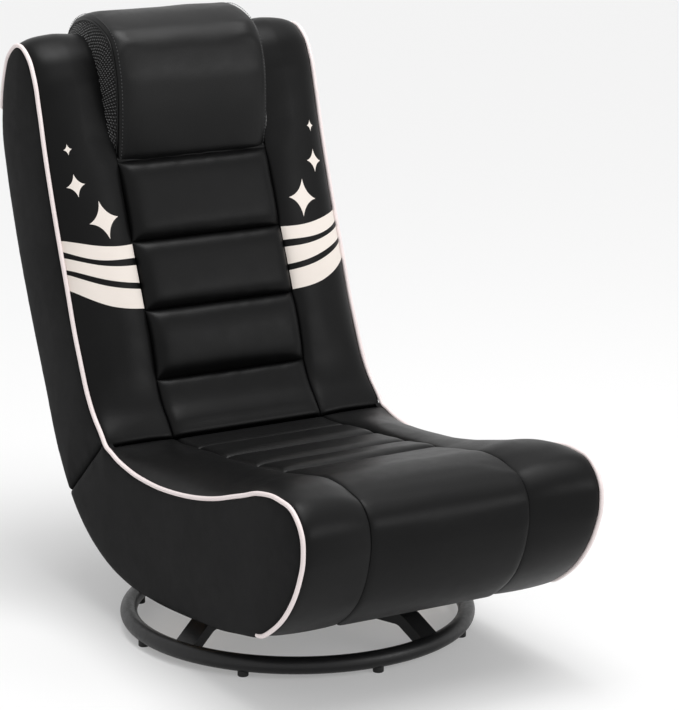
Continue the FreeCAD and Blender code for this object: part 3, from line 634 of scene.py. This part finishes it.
def closed_pad(name, half, s, x, h):
    """A closed pad: a formed front, tucked under at the back's lip, and walls to a plain rear."""
    line, _, side = HALVES[half][:3]
    if half == "back":
        s = np.concatenate([s[:1] + 5.0, s[:1] + 1.2, s])
        h = np.concatenate([h[:1] - 5.0, h[:1] - 3.0, h])
    n, m = s.shape
    top = outward(line, side, s, x[None, :], h).reshape(-1, 3)
    ends = np.maximum(PAD_START, s[:, [0, -1]])
    low = outward(line, side, ends, x[None, [0, -1]], -PAD_DEPTH).reshape(-1, 3)
    faces = grid_faces(n, m)
    b = n * m
    for i in range(n - 1):
        a = i * m
        k = b + 2 * i
        faces.append((a, a + m, k + 2, k))
        faces.append((a + m - 1, k + 1, k + 3, a + 2 * m - 1))
        faces.append((k, k + 2, k + 3, k + 1))
    faces.append((b, b + 1) + tuple(range(m))[::-1])
    faces.append(tuple(range((n - 1) * m, n * m)) + (b + 2 * n - 1, b + 2 * n - 2))
    return mesh_object(name, np.concatenate([top, low]), facing(faces, side < 0), BLACK)


# Cloth: frames, pressure, rounds of easing, and each half's largest move in millimetres and growth
CLOTH_FRAMES = 20
CLOTH_PRESSURE = 4.0
CLOTH_CALM = 8
SWELL = {"seat": (1.2, 0.0), "back": (3.0, 0.008)}
PILLOW_SWELL = (4.0, 0.002)


def eased(mesh, move, held):
    """Evens out how far each point moves against its neighbours, so that a tight cover gets no ripples."""
    edges = np.zeros(2 * len(mesh.edges), int)
    mesh.edges.foreach_get("vertices", edges)
    a, b = edges.reshape(-1, 2).T
    count = np.bincount(edges, minlength=len(move))[:, None]
    for _ in range(CLOTH_CALM):
        total = np.zeros_like(move)
        np.add.at(total, a, move[b])
        np.add.at(total, b, move[a])
        move = 0.5 * (move + total / count)
        move[held] = 0.0
    return move


def swell(obj, held, cap, growth):
    """Blows a pad up as cloth with its seams held, no point moving further than the cap in millimetres."""
    mesh = obj.data
    start = np.zeros(3 * len(mesh.vertices))
    mesh.vertices.foreach_get("co", start)
    group = obj.vertex_groups.new(name="seams")
    held = sorted(int(i) for i in held)
    group.add(held, 1.0, "REPLACE")
    cloth = obj.modifiers.new("cloth", "CLOTH")
    cloth.settings.vertex_group_mass = "seams"
    cloth.settings.use_pressure = True
    cloth.settings.uniform_pressure_force = CLOTH_PRESSURE
    cloth.settings.shrink_min = -growth
    cloth.settings.effector_weights.gravity = 0.0
    cloth.collision_settings.use_collision = False
    cloth.point_cache.frame_start = 1
    cloth.point_cache.frame_end = CLOTH_FRAMES
    for number in range(1, CLOTH_FRAMES + 1):
        scene.frame_set(number)
    blown = obj.evaluated_get(bpy.context.evaluated_depsgraph_get()).data
    end = np.zeros_like(start)
    blown.vertices.foreach_get("co", end)
    obj.modifiers.remove(cloth)
    obj.vertex_groups.remove(group)
    scene.frame_set(1)
    move = eased(mesh, (end - start).reshape(-1, 3), held)
    size = np.maximum(1e-9, np.linalg.norm(move, axis=1))[:, None]
    limit = cap * MM
    move *= limit * np.tanh(size / limit) / size
    mesh.vertices.foreach_set("co", (start.reshape(-1, 3) + move).ravel())
    mesh.update()


def held_points(obj, rows, columns, fixed_rows):
    """Indices of a pad's held points: its rim, its lower corners and the rows along its seams."""
    grid = np.arange(rows * columns).reshape(rows, columns)
    held = set(range(rows * columns, len(obj.data.vertices)))
    for part in (grid[:, :2], grid[:, -2:], grid[fixed_rows]):
        held.update(part.ravel())
    return held


def front_pad(name, half, seams, step, x, height, flip=False):
    """A padded front piece, swelled with its seams and the stretch by the crease held."""
    s = spaced([PAD_START] + seams, step)
    ss = lip_length(half, s[:, None], x[None, :])
    h = height(half, ss, x[None, :])
    if flip:
        x = -x[::-1]
        h = h[:, ::-1]
        ss = ss[:, ::-1]
    pad = closed_pad(name, half, ss, x, h)
    rows = len(pad.data.vertices) // (len(x) + 2)
    sewn = np.min(np.abs(s[:, None] - np.array(seams)), axis=1) < SEWN_WIDTH
    fixed = np.concatenate([np.ones(rows - len(s), bool), sewn | (s < LIP_SPAN)])
    swell(pad, held_points(pad, rows, len(x), fixed), *SWELL[half])
    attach(pad, half)
    return pad


bolsters = {}
channel_x = spaced([-CHANNEL_X + SEAM_GAP, CHANNEL_X - SEAM_GAP], 5.0)
bolster_x = spaced([CHANNEL_X + SEAM_GAP, BOLSTER_OUT_X], 4.0)
for half, form in HALVES.items():
    end = form.line.length
    pad = front_pad(half + "_channel_cushion", half, form.seams + [end], 4.0, channel_x, channel_height)
    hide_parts(half + "_centre_pad", CORES[half])
    for hand, sign in HANDS.items():
        name = half + "_side_bolster_" + hand
        pad = front_pad(name, half, [end], 4.5, bolster_x, bolster_height, sign < 0)
        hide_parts(half + "_bolster_" + hand)
        bolsters[half, hand] = pad

# Side panels

CORNER_CUT = 4.5
OUTLINE_STEP = 5.0
FOLD_GAP = 0.4
FOLD_POINTS = 32
FILL_STEP = 6.0
FILL_CLEAR = 4.5
RIM_ROWS = (1.2, 3.0)
SIDE_EDGE_R = 6.0
SIDE_PUFF = 4.5
SIDE_INNER_X = 214.0


def outline_of(half):
    """Closed side outline of a half, its corner at the crease cut off to clear the other half."""
    a, b, side = HALVES[half][:3]
    way = side * UP_DIR
    crease = a.at(0.0)[0]
    pa = a.at(np.arange(CORNER_CUT, a.length, OUTLINE_STEP))[0]
    pb = b.at(np.arange(0.0, b.length, OUTLINE_STEP))[0]
    fold = np.linspace(b.at(b.length)[0], crease, FOLD_POINTS)[:-1]
    pts = np.concatenate([pa, pb, fold])
    along = (pts - crease) @ way
    return pts + np.clip(FOLD_GAP - along, 0.0, FOLD_GAP)[:, None] * way


def inside(poly, pts):
    """Which points lie inside a closed polygon."""
    x, y = pts[:, 0], pts[:, 1]
    hit = np.zeros(len(pts), bool)
    for (ax, ay), (bx, by) in zip(poly, np.roll(poly, -1, 0)):
        if ay != by:
            hit ^= ((ay > y) != (by > y)) & (x < (bx - ax) * (y - ay) / (by - ay) + ax)
    return hit


def edge_distance(poly, pts):
    """How far points lie from the nearest edge of a closed polygon."""
    best = np.full(len(pts), 1e9)
    for a, b in zip(poly, np.roll(poly, -1, 0)):
        ab = b - a
        t = np.clip(((pts - a) @ ab) / max(ab.dot(ab), 1e-9), 0.0, 1.0)
        best = np.minimum(best, np.linalg.norm(pts - a - t[:, None] * ab, axis=1))
    return best


def edge_round(d, r):
    """How far a rounded edge lies back at a distance from it."""
    return np.where(d < r, -r + np.sqrt(np.maximum(0.0, r * r - (r - np.minimum(d, r)) ** 2)), 0.0)


def fill(poly):
    """Points and triangles that fill a closed outline, with rows of points close to its edge."""
    lo = poly.min(0)
    hi = poly.max(0)
    rows = []
    for i, z in enumerate(np.arange(lo[1], hi[1], FILL_STEP * 0.866)):
        y = np.arange(lo[0] + (i % 2) * FILL_STEP / 2, hi[0], FILL_STEP)
        rows.append(np.stack([y, np.full_like(y, z)], 1))
    cloud = np.concatenate(rows)
    cloud = cloud[inside(poly, cloud)]
    cloud = cloud[edge_distance(poly, cloud) > FILL_CLEAR]
    rim = []
    mid = (poly + np.roll(poly, -1, 0)) / 2.0
    along = np.roll(poly, -1, 0) - poly
    normal = np.stack([-along[:, 1], along[:, 0]], 1)
    normal /= np.linalg.norm(normal, axis=1)[:, None]
    if inside(poly, mid + 0.5 * normal)[:20].mean() <= 0.5:
        normal = -normal
    for d in RIM_ROWS:
        ring = mid + d * normal
        keep = inside(poly, ring) & (np.abs(edge_distance(poly, ring) - d) < 0.2)
        rim.append(ring[keep])
    pts = np.concatenate([poly] + rim + [cloud])
    n = len(poly)
    loops = [(i, (i + 1) % n) for i in range(n)]
    got = delaunay_2d_cdt([Vector(p) for p in pts], loops, [tuple(range(n))], 1, 1e-4)
    return np.array([tuple(v) for v in got[0]]), [tuple(f) for f in got[2]]


def side_panel(half, hand, sign):
    """A soft side cover: rounded at its edge, full in the middle, with a wall turned in behind it."""
    poly = outline_of(half)
    flat, tris = fill(poly)
    d = edge_distance(poly, flat)
    fold_d = np.abs((flat - CREASE) @ UP_DIR)
    shape = edge_round(d, SIDE_EDGE_R)
    puff = SIDE_PUFF * (1.0 - np.exp(-d / 26.0))
    sway = noise(flat[:, 0] / 85.0, flat[:, 1] / 75.0, 31) * 0.8 * (1.0 - np.exp(-d / 20.0))
    pull = pucker(noise(flat @ IN_DIR / 16.0, fold_d / 60.0, 32), fold_d, 16.0, 4.0)
    x = SIDE_X + shape + puff + sway + pull * np.minimum(1.0, d / 5.0)
    verts = np.column_stack([sign * x, flat]).tolist()
    a, b, c = (np.array(verts[i]) for i in tris[0])
    if np.cross(b - a, c - a)[0] * sign < 0:
        tris = facing(tris, True)
    edges = dict.fromkeys(e for f in tris for e in zip(f, f[1:] + f[:1]))
    rim_edges = [e for e in edges if (e[1], e[0]) not in edges]
    inner = {}
    for e in rim_edges:
        for v in e:
            if v not in inner:
                inner[v] = len(verts)
                verts.append([sign * SIDE_INNER_X] + verts[v][1:])
    tris += [(b, a, inner[a], inner[b]) for a, b in rim_edges]
    # The side covers take the copy of the black leather with cut gloss and a painted sheen in its tone.
    obj = mesh_object(half + "_side_cover_" + hand, verts, tris, SIDE_LEATHER_PAINTED_SHEEN, 60.0)
    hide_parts(half + "_side_panel_" + hand)
    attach(obj, half)


for hand, sign in HANDS.items():
    for half in ("seat", "back"):
        side_panel(half, hand, sign)

# Piping, one run on each side from under the front roll over the crease to the rear of the back

TAIL_LENGTH = 26.0
TAIL_RISE = 5.0
PIPING_STEP = 2.5
BEND_HALF = 11.0
for hand, sign in HANDS.items():
    a = seat_front.at(np.arange(seat_front.length, 0.5, -PIPING_STEP))[0]
    b = back_front.at(np.arange(0.0, back_front.length + 0.1, PIPING_STEP))[0]
    tail_s = np.arange(TAIL_LENGTH, 1.0, -PIPING_STEP)
    tail = seat_under.at(tail_s)[0]
    tail[:, 1] += TAIL_RISE * (tail_s / TAIL_LENGTH) ** 2
    run = np.concatenate([tail, a, b])
    obj = mesh_object("piping_" + hand, *tube(at_x(sign * PIPING_X, run), PIPING_R, 14, 3.0), PALE)
    end = CREASE + BEND_HALF * UP_DIR
    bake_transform(obj)
    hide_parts("seat_piping_" + hand, "back_piping_" + hand, "piping_bend_" + hand)

# Headrest pillow: leather over the top, knit mesh sides, welted and topstitched seams

PILLOW_LIP_R = 7.0
PILLOW_SEAM_SINK = 1.6
FOOT_POINTS = 240
GUSSET_FLARE = 10.5
GUSSET_BULGE = 2.4
GUSSET_FULL = 14.0
GUSSET_COLUMNS = 13
STITCH_LONG = 3.0
STITCH_GAP = 2.2
STITCH_R = 0.6
LOOP_PITCH = 5.4
LOOP_ROW = 4.8
LOOP_START = 2.2
LOOP_LONG = 1.9
LOOP_WIDE = 0.95
LOOP_HIGH = 1.1
foot_s = np.linspace(BACK_SEAMS[-1] - 2.0, back_front.length - 26.0, FOOT_POINTS)
foot, _, foot_up = back_front.at(foot_s)
pillow_back = foot + 0.3 * foot_up
gusset_rise = bolster_height("back", foot_s, np.full(FOOT_POINTS, PILLOW_X + GUSSET_FLARE)) - 2.5
gusset_back = foot + gusset_rise[:, None] * foot_up


def resample(path, count):
    """The nearest points of a path at even steps."""
    return path[np.linspace(0, len(path) - 1, count).round().astype(int)]


def pillow_crown(x):
    return PILLOW_CROWN * np.maximum(0.0, 1.0 - np.abs(x / PILLOW_X) ** 9) ** 0.5


def pillow_ring(x, inset=0.0):
    """Points and normals of the pillow at one x, from its front lip over the top to its rear lip."""
    t = np.linspace(0.0, pillow_line.length, 150)
    p, d, n = pillow_line.at(t)
    ends = np.minimum(1.0, np.minimum(t, pillow_line.length - t) / 30.0)
    rise = pillow_crown(x) * (0.45 + 0.55 * np.sin(0.5 * np.pi * ends)) - inset
    wave = 0.5 * noise(np.full_like(t, x / 45.0), t / 40.0, 41)
    out = p + n * (rise + wave)[:, None]
    r = PILLOW_LIP_R + 0.6 * float(pillow_crown(x))
    a = np.radians(np.linspace(12.0, 150.0, 12))[:, None]
    lips = []
    for i, way in ((0, -1.0), (-1, 1.0)):
        nor = np.cos(a) * n[i] + way * np.sin(a) * d[i]
        lip = out[i] - r * n[i] + r * nor
        lips.append((lip[::-1], nor[::-1]) if way < 0 else (lip, nor))
    pts = np.concatenate([lips[0][0], out, lips[1][0]])
    nors = np.concatenate([lips[0][1], n, lips[1][1]])
    return pts, nors


px = spaced([-PILLOW_X, PILLOW_X], 5.0, (0.0, 0.8, 1.8, 3.2, 5.0))
rings = [pillow_ring(x, PILLOW_SEAM_SINK * math.exp(-(PILLOW_X - abs(x)) / 2.0)) for x in px]
n_ring = len(rings[0][0])
inner_path = resample(pillow_back, n_ring)
rows = [at_x(x, r[0]) for x, r in zip(px, rings)]
verts = np.concatenate(rows + [at_x(x, inner_path) for x in (-PILLOW_X, PILLOW_X)])
faces = grid_faces(len(px), n_ring)
base = len(px) * n_ring
far = base + n_ring
last = base - n_ring
for i in range(n_ring - 1):
    faces.append((base + i + 1, far + i + 1, far + i, base + i))
    faces.append((base + i, base + i + 1, i + 1, i))
    faces.append((last + i + 1, far + i + 1, far + i, last + i))
for k, flip in ((0, True), (n_ring - 1, False)):
    strip = [j * n_ring + k for j in range(len(px))]
    faces += facing([tuple(strip + [far + k, base + k])], flip)
pillow = mesh_object("headrest_cushion", verts, faces, PILLOW_HIDE, 62.0)
swell(pillow, held_points(pillow, len(px), n_ring, [0, 1, -2, -1]), *PILLOW_SWELL)
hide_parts("headrest_pillow")
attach(pillow, "back")


def stitch_row(name, x):
    """A row of thread stitches over the pillow at one x, clear of its lips, each a small sunk loop."""
    pts, normals = pillow_ring(x)
    pts = at_x(x, pts[8:-8])
    normals = at_x(0.0, normals[8:-8])
    along = run_length(pts)
    lift = STITCH_R * (1.3 * np.sin(np.linspace(0.0, math.pi, 6)) - 0.35)
    parts = []
    s = STITCH_GAP
    while s + STITCH_LONG < along[-1]:
        f = np.linspace(s, s + STITCH_LONG, 6)
        line = follow(f, along, pts) + follow(f, along, normals) * lift[:, None]
        parts.append(tube(line, STITCH_R, 6, 1.0))
        s += STITCH_LONG + STITCH_GAP
    # The stitches take the black thread with its painted glint.
    obj = mesh_object(name, *join_meshes(parts), THREAD_PAINTED_GLINT)
    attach(obj, "back")


def bead(p, a, b, up):
    """A small dome at a point, long one way and narrow the other."""
    turns = np.radians(range(0, 360, 60))
    ring = [LOOP_LONG * math.cos(g) * a + LOOP_WIDE * math.sin(g) * b for g in turns]
    base = [p + r - 0.2 * up for r in ring]
    mid = [p + 0.75 * r + 0.65 * LOOP_HIGH * up for r in ring]
    faces = [(g, (g + 1) % 6, 6 + (g + 1) % 6, 6 + g) for g in range(6)]
    faces += [(6 + g, 6 + (g + 1) % 6, 12) for g in range(6)]
    return np.array(base + mid + [p + LOOP_HIGH * up]), facing(faces, np.dot(np.cross(a, b), up) < 0)


def knit_loops(name, sign, grid, run):
    """Raised yarn loops in staggered rows over a mesh side, each a small leaning bead."""
    parts = []
    for i in range(1, int(run[-1] / LOOP_PITCH)):
        s = i * LOOP_PITCH
        k = min(len(run) - 2, int(np.searchsorted(run, s)) - 1)
        f = (s - run[k]) / (run[k + 1] - run[k])
        line = grid[k] + f * (grid[k + 1] - grid[k])
        along = unit((grid[k + 1] - grid[k]).mean(0))
        span = run_length(line)
        w = LOOP_START + 0.5 * LOOP_ROW * (i % 2)
        while w < span[-1] - 1.0:
            p = follow(w, span, line)
            across = unit(follow(w + 1.0, span, line) - p)
            up = unit(np.cross(along, across))
            up = up if up[0] * sign > 0 else -up
            tilt = math.radians(24.0 + 12.0 * float(noise(s / 5.0, w / 5.0, 44)))
            a = math.cos(tilt) * across + math.sin(tilt) * along
            b = math.cos(tilt) * along - math.sin(tilt) * across
            parts.append(bead(p, a, b, up))
            w += LOOP_ROW
    # The loops take the black yarn with its painted glint.
    obj = mesh_object(name, *join_meshes(parts), LOOP_YARN_PAINTED_GLINT, 80.0)
    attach(obj, "back")


for hand, sign in HANDS.items():
    edge = pillow_ring(sign * PILLOW_X, PILLOW_SEAM_SINK)[0]
    welt = at_x(sign * (PILLOW_X + 0.8), edge)
    obj = mesh_object("headrest_welt_" + hand, *tube(welt, 1.5, 10, 2.0), PILLOW_HIDE)
    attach(obj, "back")
    stitch_row("headrest_stitches_" + hand, sign * (PILLOW_X - 3.4))
    v = np.linspace(0.0, 1.0, GUSSET_COLUMNS)
    low = resample(gusset_back, n_ring)
    run = run_length(edge)
    deep = np.linalg.norm(edge - low, axis=1)[:, None]
    room = np.minimum(1.0, deep / GUSSET_FULL)
    bulge = GUSSET_BULGE * np.sin(np.pi * v) ** 0.7
    ripple = 0.35 * noise(run[:, None] / 7.0, v[None, :] * 3.0, 42)
    flare = GUSSET_FLARE * v ** 1.4 * (0.25 + 0.75 * room)
    out = sign * (PILLOW_X + 0.2 + flare + (bulge + ripple) * room)
    grid = np.concatenate([out[..., None], edge[:, None] + v[:, None] * (low - edge)[:, None]], -1)
    uv = np.stack(np.broadcast_arrays(run[:, None], v * deep), -1).reshape(-1, 2)
    faces = grid_faces(n_ring, GUSSET_COLUMNS, sign < 0)
    obj = mesh_object("headrest_mesh_side_" + hand, grid.reshape(-1, 3), faces, MESH, 60.0, uv)
    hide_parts("headrest_gusset_" + hand)
    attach(obj, "back")
    knit_loops("headrest_mesh_loops_" + hand, sign, grid, run)

# Pale bands and sparkles laid on the back bolsters

# Bands: distances from the middle, and the lengths along the back of both edges there
BANDS = [
    ([122.0, 146.0, 168.0, 200.0, 221.0], [279.0, 277.0, 280.0, 288.0, 297.0],
     [259.0, 257.5, 260.0, 268.0, 281.0]),
    ([122.0, 146.0, 172.0, 198.0, 221.0], [248.5, 248.0, 252.5, 260.0, 272.0],
     [223.0, 225.0, 232.5, 242.0, 255.0]),
    ([122.0, 150.0, 178.0, 201.0, 221.0], [214.0, 217.0, 225.5, 235.0, 248.0],
     [185.5, 188.0, 197.0, 209.0, 225.0]),
]
BAND_X = (121.4, 221.4)
BAND_ROWS = 11
BAND_COLUMNS = 45

# Sparkles: distance from the middle, length along the back, half height, half width, lean in degrees
SPARKS = [(197.0, 424.0, 8.2, 5.8, 2.0), (193.5, 371.0, 17.2, 13.0, 4.0), (161.5, 317.0, 28.5, 22.5, 8.0)]
SPARK_RINGS = (1.0, 0.82, 0.6, 0.36, 0.14)
FILM_LIFT = 0.45
FILM_SINK = 0.8
RAY_START = 70.0
trees = {}
for hand in HANDS:
    mesh = bolsters["back", hand].data
    points = [v.co / MM for v in mesh.vertices]
    trees[hand] = BVHTree.FromPolygons(points, [tuple(f.vertices) for f in mesh.polygons])


def laid(hand, sign, x, s, lift):
    """Points on a back bolster, lifted off its surface."""
    p, _, n = back_front.at(s)
    out = []
    for xx, pp, nn in zip(x, p, n):
        way = Vector((0.0, nn[0], nn[1]))
        start = Vector((sign * xx, pp[0], pp[1])) + RAY_START * way
        hit = trees[hand].ray_cast(start, -way)
        out.append(hit[0] + lift * hit[1] if hit[0] else start - RAY_START * way)
    return np.array(out)


def film(hand, sign, x, s, faces, rim):
    """A thin film on a bolster with turned-down edges."""
    top = laid(hand, sign, x, s, FILM_LIFT)
    low = laid(hand, sign, x[rim], s[rim], -FILM_SINK)
    n = len(rim)
    side = [(rim[i], rim[(i + 1) % n], len(top) + (i + 1) % n, len(top) + i) for i in range(n)]
    return np.concatenate([top, low]), facing(faces + side, sign < 0)


def smooth_curve(xs, ys, x):
    """A cubic through a few points."""
    return np.polyval(np.polyfit(xs, ys, 3), x)


def sparkle(tall, wide, lean):
    """A four-pointed star with hollow sides: rings of points, their faces and the outer ring."""
    tips = np.array([(0.0, tall), (wide, 0.0), (0.0, -tall), (-wide, 0.0)])
    outline = []
    for a, b in zip(tips, np.roll(tips, -1, 0)):
        c = 0.20 * (a + b)
        for u in np.linspace(0.0, 1.0, 13)[:-1]:
            outline.append((1 - u) ** 2 * a + 2 * u * (1 - u) * c + u ** 2 * b)
    flat = np.concatenate([np.array(outline) * k for k in SPARK_RINGS] + [np.zeros((1, 2))])
    a = math.radians(-lean)
    turned = flat @ np.array([[math.cos(a), math.sin(a)], [-math.sin(a), math.cos(a)]])
    n = len(outline)
    last = (len(SPARK_RINGS) - 1) * n
    faces = []
    for k in range(0, last, n):
        for i in range(n):
            j = (i + 1) % n
            faces.append((k + i, k + n + i, k + n + j, k + j))
    faces += [(last + i, last + n, last + (i + 1) % n) for i in range(n)]
    return turned, faces, list(range(n))


for hand, sign in HANDS.items():
    bands = []
    for xs, tops, lows in BANDS:
        x = np.linspace(*BAND_X, BAND_COLUMNS)
        hi = smooth_curve(xs, tops, x)
        lo = smooth_curve(xs, lows, x)
        s = lo + (hi - lo) * np.linspace(0.0, 1.0, BAND_ROWS)[:, None]
        xx = np.broadcast_to(x, s.shape).ravel()
        bands.append(film(hand, sign, xx, s.ravel(), grid_faces(*s.shape), grid_rim(*s.shape)))
    sparkles = []
    for mid_x, mid_s, tall, wide, lean in SPARKS:
        turned, faces, rim = sparkle(tall, wide, lean)
        sparkles.append(film(hand, sign, mid_x + turned[:, 0], mid_s + turned[:, 1], faces, rim))
    for name, parts in (("back_bands_", bands), ("back_sparkles_", sparkles)):
        obj = mesh_object(name + hand, *join_meshes(parts), PRINT, 60.0)
        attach(obj, "back")

# Rear cover of the back with its hem, and the linings under the seat and on the fold faces


def cover_sheet(name, half, s0, s1, wide, finish, puff, thick, replaced):
    """A cover over a rear line: full in the middle, turned in at its edges, with a second face inside."""
    _, line, side = HALVES[half][:3]
    s = spaced([s0, s1], 7.0, (0.0, 1.2, 3.0, 6.0))
    x = spaced([-wide, wide], 8.0, (0.0, 1.2, 3.0, 6.0))
    ss, xx = np.meshgrid(s, x, indexing="ij")
    d = np.minimum(np.minimum(ss - s0, s1 - ss), wide - np.abs(xx))
    hem = 0.7 * np.exp(-((d - 11.0) / 1.3) ** 2)
    round_in = edge_round(d, COVER_EDGE_R)
    h = puff * (1.0 - np.exp(-d / 40.0)) + round_in - hem + 0.5 * noise(xx / 80.0, ss / 70.0, 51)
    pull = noise(np.where(wide - np.abs(xx) < np.minimum(ss - s0, s1 - ss), ss, xx) / 22.0, d / 60.0, 52)
    h = h + 0.5 * pucker(pull, d, 22.0, 5.0)
    top = outward(line, side, ss, xx, h).reshape(-1, 3)
    low = outward(line, side, ss, xx, np.minimum(h, 0.0) - thick).reshape(-1, 3)
    n, m = ss.shape
    faces = grid_faces(n, m) + grid_faces(n, m, True, n * m)
    rim = grid_rim(n, m)
    for a, b in zip(rim, rim[1:] + rim[:1]):
        faces.append((n * m + a, n * m + b, b, a))
    obj = mesh_object(name, np.concatenate([top, low]), facing(faces, side < 0), finish, 60.0)
    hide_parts(replaced)
    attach(obj, half)


REAR_X = 221.0
UNDER_X = 219.0
COVER_EDGE_R = 3.0
PLATE_CLEAR_Y = 105.0
s_front, s_rear = np.interp([-PLATE_CLEAR_Y, PLATE_CLEAR_Y], seat_under.p[:, 0], seat_under.s).tolist()
cover_sheet("back_rear_panel", "back", 1.0, back_rear.length - 1.0, REAR_X, REAR_HIDE,
            3.0, 1.2, "back_rear_cover")
cover_sheet("seat_front_lining", "seat", 1.0, s_front, UNDER_X, LINING,
            0.8, 0.8, "seat_front_cover")
cover_sheet("seat_rear_lining", "seat", s_rear, seat_under.length - 1.0, UNDER_X, LINING,
            0.8, 0.8, "seat_rear_cover")

# A black welt where the front covers of the back meet its rear cover

WELT_R = 2.3
WELT_X = 220.0
x = np.linspace(-WELT_X, WELT_X, 120)
sunk = 1.1 + 1.5 * (1.0 - np.clip((WELT_X - np.abs(x)) / 5.0, 0.0, 1.0))
pts = outward(back_rear, 1.0, 0.8, x, 0.25 * noise(x / 30.0, x * 0.0, 61) - sunk)
obj = mesh_object("back_hem_welt", *tube(pts, WELT_R, 10, 2.0), BLACK)
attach(obj, "back")


FOLD_X = 213.0
LINING_LOW = {"seat": 22.0, "back": 13.0}


def fold_lining(half):
    """Cloth over the open end of a half, seen when the chair is folded."""
    side = HALVES[half].side
    way = side * UP_DIR
    lower = LINING_LOW[half]
    start = CREASE + lower * IN_DIR + 0.6 * way
    length = float(np.linalg.norm(FOLD_REAR - CREASE)) - lower - 2.0
    b = spaced([0.0, length], 7.0, (0.0, 1.5, 4.0))
    x = spaced([-FOLD_X, FOLD_X], 8.0, (0.0, 1.5, 4.0))
    bb, xx = np.meshgrid(b, x, indexing="ij")
    d = np.minimum(np.minimum(bb, length - bb), FOLD_X - np.abs(xx))
    sag = 1.6 * (1.0 - np.exp(-d / 14.0)) + 0.5 * noise(xx / 30.0, bb / 25.0, 53) * (1.0 - np.exp(-d / 9.0))
    flat = start + bb[..., None] * IN_DIR + np.maximum(0.0, sag)[..., None] * way
    verts = np.concatenate([xx[..., None], flat], -1).reshape(-1, 3)
    obj = mesh_object(half + "_fold_lining", verts, grid_faces(len(b), len(x), side < 0), LINING, 60.0)
    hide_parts(half + "_end_cover")
    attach(obj, half)


fold_lining("seat")
fold_lining("back")

# Camera at the photograph's viewing angle

CAMERA_AT = (-1.9761, -3.4855, 1.4108)
CAMERA_TURN_DEG = -30.0
CAMERA_LIFT_DEG = 14.272
CAMERA_LENS = 152.1
CAMERA_SHIFT = (0.0275, -0.0070)
cam_data = bpy.data.cameras.new("camera")
cam = placed("camera", cam_data)
turn = Euler((math.radians(90.0 - CAMERA_LIFT_DEG), 0.0, math.radians(CAMERA_TURN_DEG)))
cam.matrix_world = Matrix.LocRotScale(Vector(CAMERA_AT), turn, None)
cam_data.lens = CAMERA_LENS
cam_data.shift_x, cam_data.shift_y = CAMERA_SHIFT
scene.camera = cam

# Floor and studio light


def seen_rays(tree):
    """1 for what the camera sees, straight or by gloss or glass, and 0 for light that falls on things."""
    path = node(tree, "LightPath")
    total = path.outputs["Is Camera Ray"]
    for kind in ("Is Glossy Ray", "Is Transmission Ray"):
        both = node(tree, "Math", {0: total, 1: path.outputs[kind]}, operation="ADD", use_clamp=True)
        total = both.outputs[0]
    return total


FLOOR_GLOW = 0.28
FLOOR_SPAN = 80000
floor_mat, tree, shader = material("studio_floor")
feed(tree, shader, {"Base Color": (0.86, 0.86, 0.86, 1.0), "Roughness": 0.9, "Specular IOR Level": 0.1})
pale = node(tree, "Emission", {"Strength": 0.97})
seen = spread(tree, seen_rays(tree), 0.0, FLOOR_GLOW)
mixed = node(tree, "MixShader", {"Fac": seen, 1: shader.outputs["BSDF"], 2: pale.outputs["Emission"]})
feed(tree, tree.nodes["Material Output"], {"Surface": mixed.outputs["Shader"]})
corners = [(FLOOR_SPAN * x, FLOOR_SPAN * y, 0) for x, y in ((-1, -1), (1, -1), (1, 1), (-1, 1))]
floor = mesh_object("studio_floor", corners, [(0, 1, 2, 3)], floor_mat)


def lamp(name, kind, where, target, power):
    data = bpy.data.lights.new(name, kind)
    data.energy = power
    obj = placed(name, data)
    obj.location = where
    obj.rotation_mode = "QUATERNION"
    obj.rotation_quaternion = (Vector(target) - Vector(where)).to_track_quat("-Z", "Y")
    return data


def softbox(name, where, target, size, power):
    data = lamp(name, "AREA", where, target, power)
    data.shape = "RECTANGLE"
    data.size = size[0]
    data.size_y = size[1]


sky = lamp("sky_light", "SUN", (0.5, -0.4, 3.8), (0.0, 0.0, 0.0), 1.35)
sky.angle = math.radians(40.0)
softbox("front_light", (2.1, -3.4, 1.75), (0.0, 0.3, 0.65), (1.9, 1.0), 32.0)
softbox("top_light", (0.1, 0.0, 2.0), (0.1, 0.0, 0.0), (0.9, 0.8), 10.5)

WORLD_LIGHT = 0.58
WORLD_SEEN = 0.92
world = bpy.data.worlds.new("studio_world")
scene.world = world
world.use_nodes = True
tree = world.node_tree
level = spread(tree, seen_rays(tree), WORLD_LIGHT, WORLD_SEEN)
feed(tree, tree.nodes["Background"], {"Color": (1.0, 1.0, 1.0, 1.0), "Strength": level})

scene.view_settings.view_transform = "Standard"
